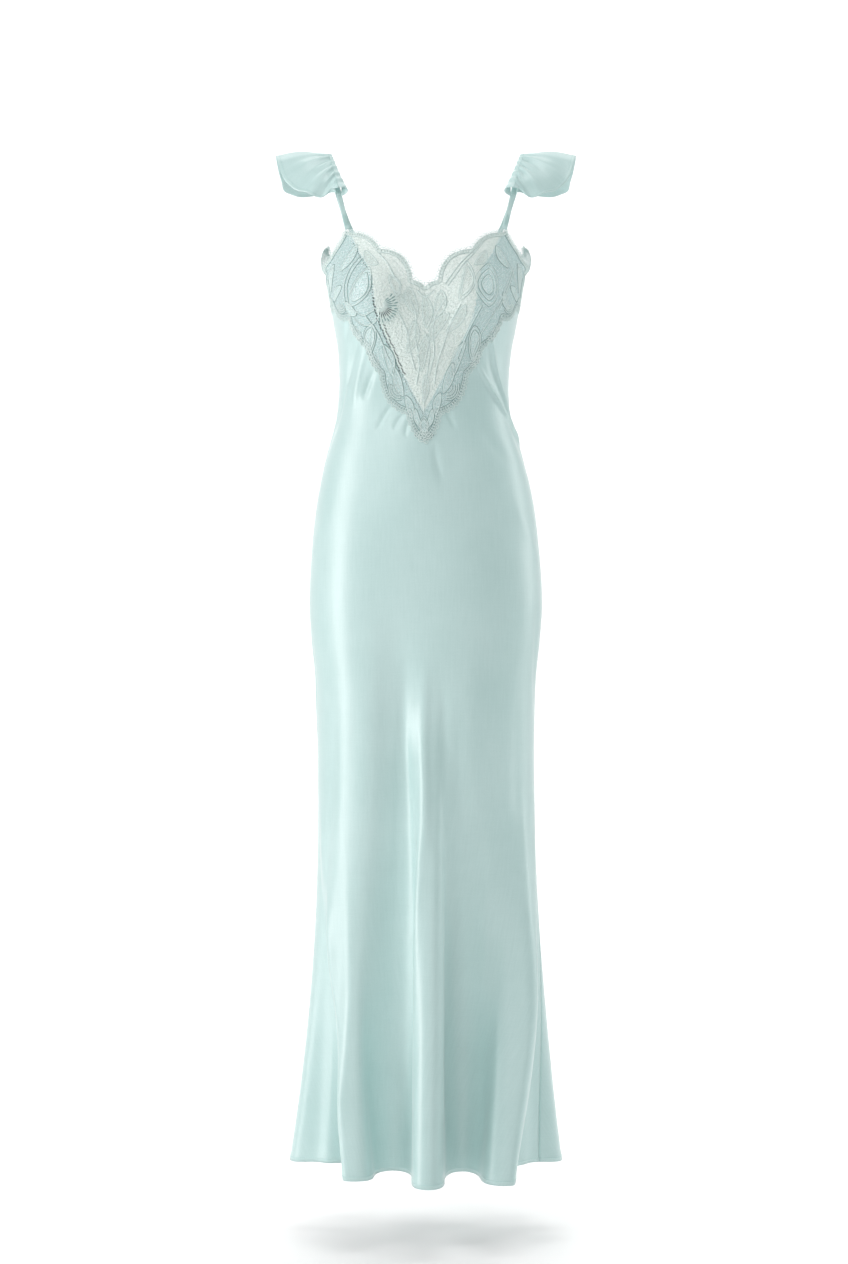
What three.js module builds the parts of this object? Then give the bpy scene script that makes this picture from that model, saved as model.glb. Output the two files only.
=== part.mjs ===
// Sleeveless satin maxi dress, cut on the bias, with lace in its deep V neckline, narrow straps and
// flutter ruffles on the shoulders. It keeps the hollow form of a dress that is being worn.
// Millimetres, +Z up. The origin lies between the tops of the two straps, where the shoulders carry
// the dress. X runs across the shoulders and the front of the dress faces -Y.
import * as THREE from "three";

// Driving dimensions
const HEM_Z = -1368;
const SEAM_GAP = 0.3;
const SATIN_WALL = 1.2;
const LACE_WALL = 1.0;
const RUFFLE_WALL = 1.0;
const STRAP_WIDTH = 7;
const STRAP_THICKNESS = 2.2;
const SECTION_ROUNDNESS = 2.3;
const PANEL_HALF_WIDTH = 190;
const BUST = { x: 78, z: -205, out: 24, halfWidth: 44, halfHeight: 46 };
const RUFFLE_HEADER = { width: 6, frontWidth: 14.4, curl: 6 };
const HEM_DROP = 6;

// Half width, front depth and back depth of the dress at each height, and how far its middle is
// shifted along X, because worn cloth never hangs quite even
const SECTIONS = [
  { z: -60, width: 126, front: 62, back: 84, shift: 0 },
  { z: -112, width: 134, front: 80, back: 92, shift: 0 },
  { z: -140, width: 136, front: 92, back: 96, shift: 0 },
  { z: -172, width: 134.5, front: 101, back: 97, shift: -1 },
  { z: -205, width: 129, front: 105, back: 95, shift: -1 },
  { z: -235, width: 124, front: 101, back: 91, shift: -1 },
  { z: -262, width: 119, front: 94, back: 86, shift: -1.5 },
  { z: -300, width: 116, front: 86, back: 80, shift: -2.5 },
  { z: -331, width: 116.5, front: 84, back: 77, shift: -3 },
  { z: -360, width: 120, front: 86, back: 78, shift: -3 },
  { z: -413, width: 135, front: 93, back: 86, shift: -2 },
  { z: -468, width: 147, front: 100, back: 99, shift: -1 },
  { z: -523, width: 154, front: 104, back: 113, shift: -0.7 },
  { z: -605, width: 159, front: 104, back: 121, shift: 0 },
  { z: -660, width: 156, front: 103, back: 118, shift: -0.3 },
  { z: -715, width: 150.5, front: 103, back: 113, shift: -0.3 },
  { z: -800, width: 148, front: 102, back: 108, shift: 0 },
  { z: -900, width: 148, front: 100, back: 104, shift: 0.5 },
  { z: -1016, width: 149, front: 96, back: 100, shift: 1.5 },
  { z: -1181, width: 150, front: 92, back: 97, shift: 2 },
  { z: HEM_Z, width: 150, front: 88, back: 95, shift: 0 },
];

// Folds that hang from the hips. Angles are degrees round the dress from the centre front, positive
// towards +X. Each fold starts at height z and grows to the hem, where it stands out by so many
// millimetres towards its bearing. Its crest and the widths of its two flanks drift from the
// value at its start to the value at the hem, and curl steepens the flanks.
const FOLDS = [
  { z: -735, crest: [0.7, 0.7], left: [15, 12], right: [15, 12.5], out: 92, curl: 0.55, bearing: 0, power: 1.25 },
  { z: -850, crest: [-75, -36], left: [12, 8], right: [69, 30], out: 63, curl: 0.5, bearing: -10, power: 1.25 },
  { z: -850, crest: [83, 37], left: [76, 30], right: [12, 10], out: 85, curl: 0.5, bearing: 10, power: 1.25 },
  { z: -900, crest: [-54, -54], left: [14, 12], right: [14, 11], out: -24, curl: 0, bearing: -50, power: 1.5 },
  { z: -900, crest: [-90, -90], left: [28, 28], right: [28, 28], out: 36, curl: 0.3, bearing: -90, power: 1.9 },
  { z: -900, crest: [90, 90], left: [28, 28], right: [28, 28], out: 36, curl: 0.3, bearing: 90, power: 1.9 },
  { z: -880, crest: [124, 120], left: [16, 14], right: [18, 15], out: 40, curl: 0.45, bearing: 132, power: 1.3 },
  { z: -760, crest: [152, 151], left: [18, 15], right: [17, 14], out: 62, curl: 0.5, bearing: 158, power: 1.25 },
  { z: -840, crest: [184, 182], left: [17, 14], right: [16, 14], out: 50, curl: 0.5, bearing: 181, power: 1.35 },
  { z: -780, crest: [212, 214], left: [17, 15], right: [18, 15], out: 66, curl: 0.5, bearing: 204, power: 1.25 },
  { z: -900, crest: [242, 243], left: [15, 13], right: [16, 14], out: 42, curl: 0.45, bearing: 230, power: 1.3 },
];

// Side seams stand at the sides down to z = -850, then the bias cut turns them towards the hem
const SEAM_TURN = { from: -850, rightHem: 72, leftHem: -108 };

// Columns and rows of the panels' grid. Each half has the same columns on satin and lace, so that
// the lace is made from the satin's own points, moved out.
const FRONT_COLUMNS = 24;
const BACK_COLUMNS = 20;
const FRONT_ROWS = { laceOnly: 6, laceOnSatin: 5, toHip: 5 };
const BACK_ROWS = { laceOnly: 3, laceOnSatin: 3, toHip: 5 };
const HIP_Z = -420;
const SKIRT_ROWS = [-468, -523, -582, -645, -715, -790, -865, -940, -1015, -1085, -1155, -1225, -1296, HEM_Z];

// Edges of the front, from the centre to the side seam: column, distance from the centre measured
// on the panel, height, and how far the scallop that ends at this row bulges past its chord.
const FRONT_LACE_TOP = [
  { column: 0, across: 0, z: -190, bulge: 0 },
  { column: 2, across: 16, z: -181.6, bulge: -2 },
  { column: 10, across: 62.3, z: -138, bulge: -14 },
  { column: 16, across: 110, z: -112, bulge: -7 },
  { column: 17, across: 124, z: -108, bulge: 0 },
  { column: 19, across: 143, z: -136, bulge: 3 },
  { column: 21, across: 162, z: -151, bulge: 1 },
  { column: 24, across: 190, z: -171, bulge: 0 },
];
const FRONT_SATIN_TOP = [
  { column: 0, across: 0, z: -356, bulge: 0 },
  { column: 4.5, across: 39.7, z: -293, bulge: 0 },
  { column: 7, across: 54.7, z: -257, bulge: 0 },
  { column: 8.5, across: 61, z: -233, bulge: 0 },
  { column: 11.5, across: 64.5, z: -186, bulge: 0 },
  { column: 13, across: 71.4, z: -166, bulge: 0 },
  { column: 14.5, across: 91.2, z: -142, bulge: 0 },
  { column: 16, across: 109.5, z: -118, bulge: 0 },
  { column: 17, across: 123, z: -113, bulge: 0 },
  { column: 19, across: 143, z: -141, bulge: 3 },
  { column: 21, across: 162, z: -156, bulge: 1 },
  { column: 24, across: 190, z: -175, bulge: 0 },
];
const FRONT_LACE_BOTTOM = [
  { column: 0, across: 0, z: -396, bulge: 0 },
  { column: 3, across: 23, z: -356, bulge: 5 },
  { column: 8, across: 66.5, z: -303, bulge: 13 },
  { column: 12, across: 86, z: -267, bulge: 5 },
  { column: 16, across: 109, z: -228, bulge: 6 },
  { column: 21, across: 150, z: -207, bulge: 8 },
  { column: 24, across: 190, z: -205, bulge: 6 },
];

// Edges of the back, from the centre to the side seam
const BACK_LACE_TOP = [
  { column: 0, across: 0, z: -168, bulge: 0 },
  { column: 2.5, across: 24, z: -163, bulge: -5 },
  { column: 6, across: 58, z: -143, bulge: -6 },
  { column: 9, across: 88, z: -122, bulge: -5 },
  { column: 12.5, across: 122, z: -127, bulge: -5 },
  { column: 16, across: 155, z: -145, bulge: -5 },
  { column: 20, across: 190, z: -171, bulge: -4 },
];
const BACK_SATIN_TOP = [
  { column: 0, across: 0, z: -186, bulge: 0 },
  { column: 6, across: 58, z: -161, bulge: 0 },
  { column: 9, across: 88, z: -142, bulge: 0 },
  { column: 12.5, across: 122, z: -145, bulge: 0 },
  { column: 16, across: 155, z: -160, bulge: 0 },
  { column: 20, across: 190, z: -175, bulge: 0 },
];
const BACK_LACE_BOTTOM = [
  { column: 0, across: 0, z: -212, bulge: 0 },
  { column: 2.5, across: 24, z: -204, bulge: 5 },
  { column: 6, across: 58, z: -188, bulge: 6 },
  { column: 9, across: 88, z: -170, bulge: 5 },
  { column: 12.5, across: 122, z: -173, bulge: 6 },
  { column: 16, across: 155, z: -186, bulge: 6 },
  { column: 20, across: 190, z: -205, bulge: 5 },
];

// Route of a strap on the +X side, from the cup's point over the shoulder to the back
const STRAP_ROUTE = [
  { x: 105.5, y: -57, z: -106.5 },
  { x: 113, y: -57, z: -76 },
  { x: 120, y: -52, z: -48 },
  { x: 127, y: -38, z: -21 },
  { x: 132.5, y: -16, z: -3.5 },
  { x: 134, y: 0, z: 0 },
  { x: 132.5, y: 16, z: -3.5 },
  { x: 128, y: 36, z: -19 },
  { x: 120, y: 55, z: -49 },
  { x: 106, y: 70, z: -85 },
  { x: 86, y: 79, z: -118.6 },
];
const STRAP_STEPS = 26;

// The ruffle's seam covers this share of the strap's length. Its hem is given from the front end to
// the back end: share along the seam, then the place of the hem on the +X side.
const RUFFLE_SPAN = { from: 0.19, to: 0.69 };
const RUFFLE_HEM = [
  { along: 0, x: 127, y: -60, z: -51 },
  { along: 0.05, x: 131, y: -62, z: -58 },
  { along: 0.1, x: 137, y: -64, z: -63 },
  { along: 0.16, x: 145, y: -64, z: -64 },
  { along: 0.22, x: 154, y: -62, z: -62 },
  { along: 0.28, x: 164, y: -58, z: -57 },
  { along: 0.33, x: 175, y: -53, z: -52 },
  { along: 0.38, x: 187, y: -46, z: -42 },
  { along: 0.42, x: 193, y: -40, z: -35 },
  { along: 0.46, x: 198, y: -30, z: -23 },
  { along: 0.49, x: 202, y: -19, z: -10 },
  { along: 0.52, x: 205.5, y: -2, z: 1 },
  { along: 0.56, x: 205, y: 14, z: -4 },
  { along: 0.6, x: 203, y: 26, z: -15 },
  { along: 0.65, x: 200, y: 38, z: -26 },
  { along: 0.7, x: 197, y: 50, z: -38 },
  { along: 0.76, x: 187, y: 56, z: -41 },
  { along: 0.84, x: 170, y: 62, z: -42 },
  { along: 0.92, x: 150, y: 62, z: -41 },
  { along: 1, x: 132, y: 55, z: -37 },
];
const RUFFLE_GRID = { along: 42, out: 5, header: 2 };
const RUFFLE_WAVES = { gathers: 13, gatherDepth: 2.2, flutes: 4.5, fluteDepth: 4, crown: 9 };

// Keepers: small loops round the straps, at this share of the strap's length
const KEEPER = { at: 0.165, height: 5, wall: 1.2 };

const satin = (name) => new THREE.MeshStandardMaterial({ name, color: 0xb9dcd9, roughness: 0.36, metalness: 0 });
const lace = (name) => new THREE.MeshStandardMaterial({ name, color: 0xcfe4e0, roughness: 0.85, metalness: 0 });

// Value of one column of a table at a key, on a smooth curve through the rows
function along(table, key, column, at) {
  const step = Math.sign(table[1][key] - table[0][key]);
  let i = 0;
  while (i < table.length - 2 && (at - table[i + 1][key]) * step > 0) i++;
  const slope = (j) => {
    const a = table[Math.max(j - 1, 0)];
    const b = table[Math.min(j + 1, table.length - 1)];
    return (b[column] - a[column]) / (b[key] - a[key]);
  };
  const [p, q] = [table[i], table[i + 1]];
  const span = q[key] - p[key];
  const t = THREE.MathUtils.clamp((at - p[key]) / span, 0, 1);
  const [t2, t3] = [t * t, t * t * t];
  return (2 * t3 - 3 * t2 + 1) * p[column] + (t3 - 2 * t2 + t) * span * slope(i)
    + (3 * t2 - 2 * t3) * q[column] + (t3 - t2) * span * slope(i + 1);
}

// Point of the dress's outer surface at an angle round it and a height
function bodyPoint(degrees, z) {
  const angle = THREE.MathUtils.degToRad(degrees);
  const power = 2 / SECTION_ROUNDNESS;
  const [sin, cos] = [Math.sin(angle), Math.cos(angle)];
  const depth = along(SECTIONS, "z", cos > 0 ? "front" : "back", z);
  const x = along(SECTIONS, "z", "width", z) * Math.sign(sin) * Math.abs(sin) ** power;
  let y = -depth * Math.sign(cos) * Math.abs(cos) ** power;
  if (cos > 0) {
    const across = (Math.abs(x) - BUST.x) / BUST.halfWidth;
    const up = (z - BUST.z) / BUST.halfHeight;
    y -= BUST.out * Math.exp(-across * across - up * up) * THREE.MathUtils.smoothstep(cos, 0, 0.5);
  }
  return new THREE.Vector3(x, y, z);
}

// The same point with the folds pushed out
function clothPoint(degrees, z) {
  const point = bodyPoint(degrees, z);
  point.x += along(SECTIONS, "z", "shift", z);
  let drop = 0;
  for (const fold of FOLDS) {
    if (z > fold.z) continue;
    const grown = (fold.z - z) / (fold.z - HEM_Z);
    const size = grown ** fold.power;
    const drift = (pair) => THREE.MathUtils.lerp(pair[0], pair[1], grown);
    const off = THREE.MathUtils.euclideanModulo(degrees - drift(fold.crest) + 180, 360) - 180;
    const flank = drift(off < 0 ? fold.left : fold.right);
    if (Math.abs(off) > flank) continue;
    const phase = Math.PI * off / flank;
    const out = fold.out * size * (1 + Math.cos(phase)) / 2;
    const reach = bodyPoint(drift(fold.crest), z).distanceTo(bodyPoint(drift(fold.crest) + Math.sign(off) * flank, z));
    const side = fold.curl * size * reach / Math.PI * Math.sin(2 * phase);
    const bearing = THREE.MathUtils.degToRad(fold.bearing);
    point.x += out * Math.sin(bearing) + side * Math.cos(bearing);
    point.y += -out * Math.cos(bearing) + side * Math.sin(bearing);
    drop += HEM_DROP * Math.max(out, 0) / 90 * grown ** 3;
  }
  point.z -= drop;
  return point;
}

function seamAngle(z, atTop, atHem) {
  const t = THREE.MathUtils.smoothstep(SEAM_TURN.from - z, 0, SEAM_TURN.from - HEM_Z);
  return THREE.MathUtils.lerp(atTop, atHem, t);
}

// Lengths along the cloth from one side seam to the other at one height, for the front or the back
const rings = new Map();
function ring(side, z) {
  const key = `${side} ${z.toFixed(4)}`;
  if (rings.has(key)) return rings.get(key);
  const left = seamAngle(z, -90, SEAM_TURN.leftHem);
  const right = seamAngle(z, 90, SEAM_TURN.rightHem);
  const [from, to] = side === "front" ? [left, right] : [right, left + 360];
  const steps = 480;
  const lengths = [0];
  let last = clothPoint(from, z);
  for (let i = 1; i <= steps; i++) {
    const next = clothPoint(from + (to - from) * i / steps, z);
    lengths.push(lengths[i - 1] + last.distanceTo(next));
    last = next;
  }
  const found = { from, to, lengths };
  rings.set(key, found);
  return found;
}

// Point of a panel: share runs from -1 at one side seam over 0 to 1 at the other, by length of cloth
function panelPoint(side, share, z) {
  const { from, to, lengths } = ring(side, z);
  const total = lengths[lengths.length - 1];
  const edge = SEAM_GAP / total;
  const target = total * (THREE.MathUtils.clamp(share, -1 + edge, 1 - edge) + 1) / 2;
  let [low, high] = [0, lengths.length - 1];
  while (high - low > 1) {
    const middle = (low + high) >> 1;
    if (lengths[middle] > target) high = middle;
    else low = middle;
  }
  const part = (target - lengths[low]) / (lengths[high] - lengths[low]);
  return clothPoint(from + (to - from) * (low + part) / (lengths.length - 1), z);
}

// Outward direction of a panel
function panelNormal(side, share, z) {
  const reach = 0.004;
  const inside = THREE.MathUtils.clamp(share, -1 + 2 * reach, 1 - 2 * reach);
  const across = panelPoint(side, inside + reach, z).sub(panelPoint(side, inside - reach, z));
  const down = panelPoint(side, share, z - 1).sub(panelPoint(side, share, z + 1));
  return down.cross(across).normalize();
}

// Point of an edge table at a column: scallops bulge sideways from the chord between two rows
function edgePoint(table, column) {
  const i = Math.max(1, table.findIndex((row) => row.column >= column));
  const [a, b] = [table[i - 1], table[i]];
  const t = (column - a.column) / (b.column - a.column);
  const [across, rise] = [b.across - a.across, b.z - a.z];
  const bulge = b.bulge * Math.sin(Math.PI * t) ** 0.8 / Math.hypot(across, rise);
  return { across: a.across + across * t + rise * bulge, z: a.z + rise * t - across * bulge };
}

// Rows of grid places between two edges, without the first one
function rowsBetween(upper, lower, count) {
  const rows = [];
  for (let k = 1; k <= count; k++) {
    const mix = (a, b) => THREE.MathUtils.lerp(a, b, k / count);
    rows.push(upper.map((p, i) => ({ across: mix(p.across, lower[i].across), z: mix(p.z, lower[i].z) })));
  }
  return rows;
}

// The whole grid of one side of the dress, and the rows at which the satin and the lace end
function panelGrid(columns, counts, tables) {
  const places = Array.from({ length: 2 * columns + 1 }, (_, i) => i - columns);
  const edge = (table) => places.map((i) => {
    const p = edgePoint(table, Math.abs(i));
    return { across: p.across * Math.sign(i), z: p.z };
  });
  const level = (z) => places.map((i) => ({ across: PANEL_HALF_WIDTH * i / columns, z }));
  const [laceTop, satinTop, laceBottom] = tables.map(edge);
  const rows = [
    laceTop,
    ...rowsBetween(laceTop, satinTop, counts.laceOnly),
    ...rowsBetween(satinTop, laceBottom, counts.laceOnSatin),
    ...rowsBetween(laceBottom, level(HIP_Z), counts.toHip),
    ...SKIRT_ROWS.map(level),
  ];
  return { rows, satinFrom: counts.laceOnly, laceTo: counts.laceOnly + counts.laceOnSatin };
}

// Closed wall between two grids of points, with a rim along all four edges
function wall(outer, inner) {
  const [rows, columns] = [outer.length, outer[0].length];
  const points = [...outer.flat(), ...inner.flat()];
  const index = (layer, r, c) => (layer * rows + r) * columns + c;
  const triangles = [];
  const quad = (a, b, c, d) => triangles.push(a, b, c, a, c, d);
  for (let r = 0; r < rows - 1; r++) {
    for (let c = 0; c < columns - 1; c++) {
      quad(index(0, r, c), index(0, r + 1, c), index(0, r + 1, c + 1), index(0, r, c + 1));
      quad(index(1, r, c), index(1, r, c + 1), index(1, r + 1, c + 1), index(1, r + 1, c));
    }
  }
  for (let c = 0; c < columns - 1; c++) {
    quad(index(0, 0, c), index(0, 0, c + 1), index(1, 0, c + 1), index(1, 0, c));
    quad(index(0, rows - 1, c + 1), index(0, rows - 1, c), index(1, rows - 1, c), index(1, rows - 1, c + 1));
  }
  for (let r = 0; r < rows - 1; r++) {
    quad(index(0, r + 1, 0), index(0, r, 0), index(1, r, 0), index(1, r + 1, 0));
    quad(index(0, r, columns - 1), index(0, r + 1, columns - 1), index(1, r + 1, columns - 1), index(1, r, columns - 1));
  }
  return closedMesh(points, triangles);
}

// Geometry of a closed body, turned so that its faces point out
function closedMesh(points, triangles) {
  let volume = 0;
  for (let i = 0; i < triangles.length; i += 3) {
    const [a, b, c] = [0, 1, 2].map((k) => points[triangles[i + k]]);
    volume += a.dot(new THREE.Vector3().crossVectors(b, c));
  }
  if (volume < 0) triangles.reverse();
  const geometry = new THREE.BufferGeometry();
  geometry.setAttribute("position", new THREE.Float32BufferAttribute(points.flatMap((p) => p.toArray()), 3));
  geometry.setIndex(triangles);
  geometry.computeVertexNormals();
  return geometry;
}

// Wall of cloth on rows of a panel's grid, between two distances from its surface
function panelWall(side, rows, innerOffset, outerOffset) {
  const layer = (offset) => rows.map((row) => row.map(({ across, z }) => {
    const share = across / PANEL_HALF_WIDTH;
    return panelPoint(side, share, z).addScaledVector(panelNormal(side, share, z), offset);
  }));
  return wall(layer(outerOffset), layer(innerOffset));
}

// Satin and lace of one side of the dress
function buildSide(group, side, columns, counts, tables) {
  const { rows, satinFrom, laceTo } = panelGrid(columns, counts, tables);
  const satinWall = panelWall(side, rows.slice(satinFrom), -SATIN_WALL, 0);
  const laceWall = panelWall(side, rows.slice(0, laceTo + 1), SEAM_GAP, SEAM_GAP + LACE_WALL);
  addMesh(group, `satin_${side}`, satinWall, satin);
  addMesh(group, `lace_${side}`, laceWall, lace);
}

function addMesh(group, name, geometry, material) {
  const mesh = new THREE.Mesh(geometry, material(name));
  mesh.name = name;
  group.add(mesh);
}

const strapCurve = new THREE.CatmullRomCurve3(STRAP_ROUTE.map((p) => new THREE.Vector3(p.x, p.y, p.z)), false, "centripetal");

// Place on a strap with the directions along it, across its width and out of its face
function strapFrame(share) {
  const at = strapCurve.getPointAt(share);
  const tangent = strapCurve.getTangentAt(share);
  const width = new THREE.Vector3(1, 0, 0).addScaledVector(tangent, -tangent.x).normalize();
  const out = new THREE.Vector3().crossVectors(width, tangent).normalize();
  return { at, tangent, width, out };
}

// Flat band along the strap, as a ring of corners at each step
function strapGeometry() {
  const [w, t] = [STRAP_WIDTH / 2, STRAP_THICKNESS / 2];
  const corners = [[-w, t * 0.4], [-w * 0.8, t], [w * 0.8, t], [w, t * 0.4], [w, -t * 0.4], [w * 0.8, -t], [-w * 0.8, -t], [-w, -t * 0.4]];
  const points = [];
  const triangles = [];
  const n = corners.length;
  for (let i = 0; i <= STRAP_STEPS; i++) {
    const { at, width, out } = strapFrame(i / STRAP_STEPS);
    for (const [a, b] of corners) points.push(at.clone().addScaledVector(width, a).addScaledVector(out, b));
    for (let k = 0; k < n && i > 0; k++) {
      const [p, q] = [(i - 1) * n + k, (i - 1) * n + (k + 1) % n];
      triangles.push(p, q, q + n, p, q + n, p + n);
    }
  }
  const last = STRAP_STEPS * n;
  for (let k = 1; k < n - 1; k++) triangles.push(0, k + 1, k, last, last + k, last + k + 1);
  return closedMesh(points, triangles);
}

// Flat loop round the strap
function keeperGeometry() {
  const inner = [STRAP_WIDTH / 2 + SEAM_GAP, STRAP_THICKNESS / 2 + SEAM_GAP];
  const outer = inner.map((half) => half + KEEPER.wall);
  const { at, tangent, width, out } = strapFrame(KEEPER.at);
  const points = [];
  for (const end of [-0.5, 0.5]) {
    for (const [a, b] of [outer, inner]) {
      for (const [sa, sb] of [[-1, -1], [1, -1], [1, 1], [-1, 1]]) {
        points.push(at.clone().addScaledVector(tangent, end * KEEPER.height)
          .addScaledVector(width, a * sa).addScaledVector(out, b * sb));
      }
    }
  }
  const triangles = [];
  const quad = (a, b, c, d) => triangles.push(a, b, c, a, c, d);
  for (let k = 0; k < 4; k++) {
    const next = (k + 1) % 4;
    quad(k, next, next + 8, k + 8);
    quad(next + 4, k + 4, k + 12, next + 12);
    quad(next, k, k + 4, next + 4);
    quad(k + 8, next + 8, next + 12, k + 12);
  }
  return closedMesh(points, triangles);
}

// Middle surface of a ruffle: v runs along the seam, w from -1 at the header's edge over 0 at the
// seam to 1 at the hem
function rufflePoint(v, w) {
  const { at, width, out } = strapFrame(THREE.MathUtils.lerp(RUFFLE_SPAN.from, RUFFLE_SPAN.to, v));
  const clearance = STRAP_THICKNESS / 2 + SEAM_GAP + RUFFLE_WALL / 2 + 0.2;
  const gather = RUFFLE_WAVES.gatherDepth * (1 + Math.sin(2 * Math.PI * RUFFLE_WAVES.gathers * v)) / 2;
  const seam = at.clone().addScaledVector(out, clearance + gather * (1 - Math.max(w, 0)) ** 2);
  const ends = Math.sin(Math.PI * THREE.MathUtils.clamp(v, 0, 1));
  if (w < 0) {
    const open = v < 0.5 ? 1 - ends : 0;
    const reach = THREE.MathUtils.lerp(RUFFLE_HEADER.width, RUFFLE_HEADER.frontWidth, open);
    const lift = 1.5 * w ** 2 - RUFFLE_HEADER.curl * open * w ** 4;
    return seam.addScaledVector(width, reach * w).addScaledVector(out, lift);
  }
  const hem = new THREE.Vector3(
    along(RUFFLE_HEM, "along", "x", v),
    along(RUFFLE_HEM, "along", "y", v),
    along(RUFFLE_HEM, "along", "z", v),
  );
  const chord = hem.sub(seam);
  const tangent = strapFrame(THREE.MathUtils.lerp(RUFFLE_SPAN.from, RUFFLE_SPAN.to, v)).tangent;
  const crownWay = new THREE.Vector3().crossVectors(chord, tangent).normalize();
  const crown = RUFFLE_WAVES.crown * ends * Math.sin(Math.PI * w) * (1 - 0.3 * w);
  const flute = RUFFLE_WAVES.fluteDepth * ends * w ** 1.3 * Math.sin(2 * Math.PI * RUFFLE_WAVES.flutes * v + 0.6);
  return seam.addScaledVector(chord, w).addScaledVector(crownWay, crown + flute);
}

function ruffleGeometry() {
  const { along: steps, out: rows, header } = RUFFLE_GRID;
  const reach = 0.01;
  const layer = (offset) => {
    const grid = [];
    for (let r = -header; r <= rows; r++) {
      const w = r < 0 ? r / header : r / rows;
      const row = [];
      for (let c = 0; c <= steps; c++) {
        const v = c / steps;
        const down = rufflePoint(v, w + reach).sub(rufflePoint(v, w - reach));
        const across = rufflePoint(Math.min(v + reach, 1), w).sub(rufflePoint(Math.max(v - reach, 0), w));
        const normal = down.cross(across).normalize();
        row.push(rufflePoint(v, w).addScaledVector(normal, offset));
      }
      grid.push(row);
    }
    return grid;
  };
  return wall(layer(RUFFLE_WALL / 2), layer(-RUFFLE_WALL / 2));
}

// The same geometry on the other side of the dress
function mirrored(geometry) {
  const points = [];
  const positions = geometry.getAttribute("position");
  for (let i = 0; i < positions.count; i++) {
    points.push(new THREE.Vector3(-positions.getX(i), positions.getY(i), positions.getZ(i)));
  }
  return closedMesh(points, Array.from(geometry.getIndex().array));
}

const dress = new THREE.Group();
dress.name = "maxi_dress";
buildSide(dress, "front", FRONT_COLUMNS, FRONT_ROWS, [FRONT_LACE_TOP, FRONT_SATIN_TOP, FRONT_LACE_BOTTOM]);
buildSide(dress, "back", BACK_COLUMNS, BACK_ROWS, [BACK_LACE_TOP, BACK_SATIN_TOP, BACK_LACE_BOTTOM]);
for (const [piece, geometry] of [["strap", strapGeometry()], ["keeper", keeperGeometry()], ["ruffle", ruffleGeometry()]]) {
  addMesh(dress, `${piece}_right`, geometry, satin);
  addMesh(dress, `${piece}_left`, mirrored(geometry), satin);
}

export default dress;
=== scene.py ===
# Sleeveless satin maxi dress, worn: bias-cut satin panels, lace in the deep V, narrow straps and
# flutter ruffles on the shoulders. Tables are in millimetres, and meshes are made in metres.
import math

import bpy
import numpy as np
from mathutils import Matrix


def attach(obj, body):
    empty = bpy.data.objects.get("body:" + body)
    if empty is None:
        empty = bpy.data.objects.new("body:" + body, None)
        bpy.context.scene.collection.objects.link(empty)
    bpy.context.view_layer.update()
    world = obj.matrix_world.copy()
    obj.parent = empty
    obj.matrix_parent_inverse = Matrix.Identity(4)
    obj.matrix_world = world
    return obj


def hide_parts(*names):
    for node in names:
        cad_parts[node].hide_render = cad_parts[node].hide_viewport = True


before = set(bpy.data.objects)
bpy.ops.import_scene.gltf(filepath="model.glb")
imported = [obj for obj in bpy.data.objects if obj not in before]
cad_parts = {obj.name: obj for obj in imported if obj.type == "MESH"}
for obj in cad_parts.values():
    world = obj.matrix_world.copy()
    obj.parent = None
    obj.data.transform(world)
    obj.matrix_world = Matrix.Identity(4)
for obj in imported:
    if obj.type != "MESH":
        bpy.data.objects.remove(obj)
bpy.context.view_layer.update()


# Satin panels. The front and the back are each one length of thin polyester satin, cut on the bias,
# sewn together at the sides. They cling down to the hips and fall in loose folds to a narrow hem.
# The sections, folds and edges are those of the part's solids. The creases are only here.
MM = 0.001
HEM_Z = -1368
TOP_Z = -60
HIP_Z = -420
ROUNDNESS = 2.3
PANEL_HALF_WIDTH = 190
SATIN_THICKNESS = 0.6
HEM_DROP, FULL_FOLD = 6, 90
SEAM_TURN = {"from": -850, "right_hem": 72, "left_hem": -108}
BUST = {"x": 78, "z": -205, "out": 24, "half_width": 44, "half_height": 46}
SEAM = {"groove": 0.7, "groove_width": 1.3, "pucker": 0.25, "pucker_width": 6}


def table(names, *rows):
    """Rows of numbers as one array for each named column."""
    return dict(zip(names.split(), np.array(rows, float).T))


SECTIONS = table(
    "z width front back shift",
    (-60, 126, 62, 84, 0),
    (-112, 134, 80, 92, 0),
    (-140, 136, 92, 96, 0),
    (-172, 134.5, 101, 97, -1),
    (-205, 129, 105, 95, -1),
    (-235, 124, 101, 91, -1),
    (-262, 119, 94, 86, -1.5),
    (-300, 116, 86, 80, -2.5),
    (-331, 116.5, 84, 77, -3),
    (-360, 120, 86, 78, -3),
    (-413, 135, 93, 86, -2),
    (-468, 147, 100, 99, -1),
    (-523, 154, 104, 113, -0.7),
    (-605, 159, 104, 121, 0),
    (-660, 156, 103, 118, -0.3),
    (-715, 150.5, 103, 113, -0.3),
    (-800, 148, 102, 108, 0),
    (-900, 148, 100, 104, 0.5),
    (-1016, 149, 96, 100, 1.5),
    (-1181, 150, 92, 97, 2),
    (HEM_Z, 150, 88, 95, 0),
)

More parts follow.
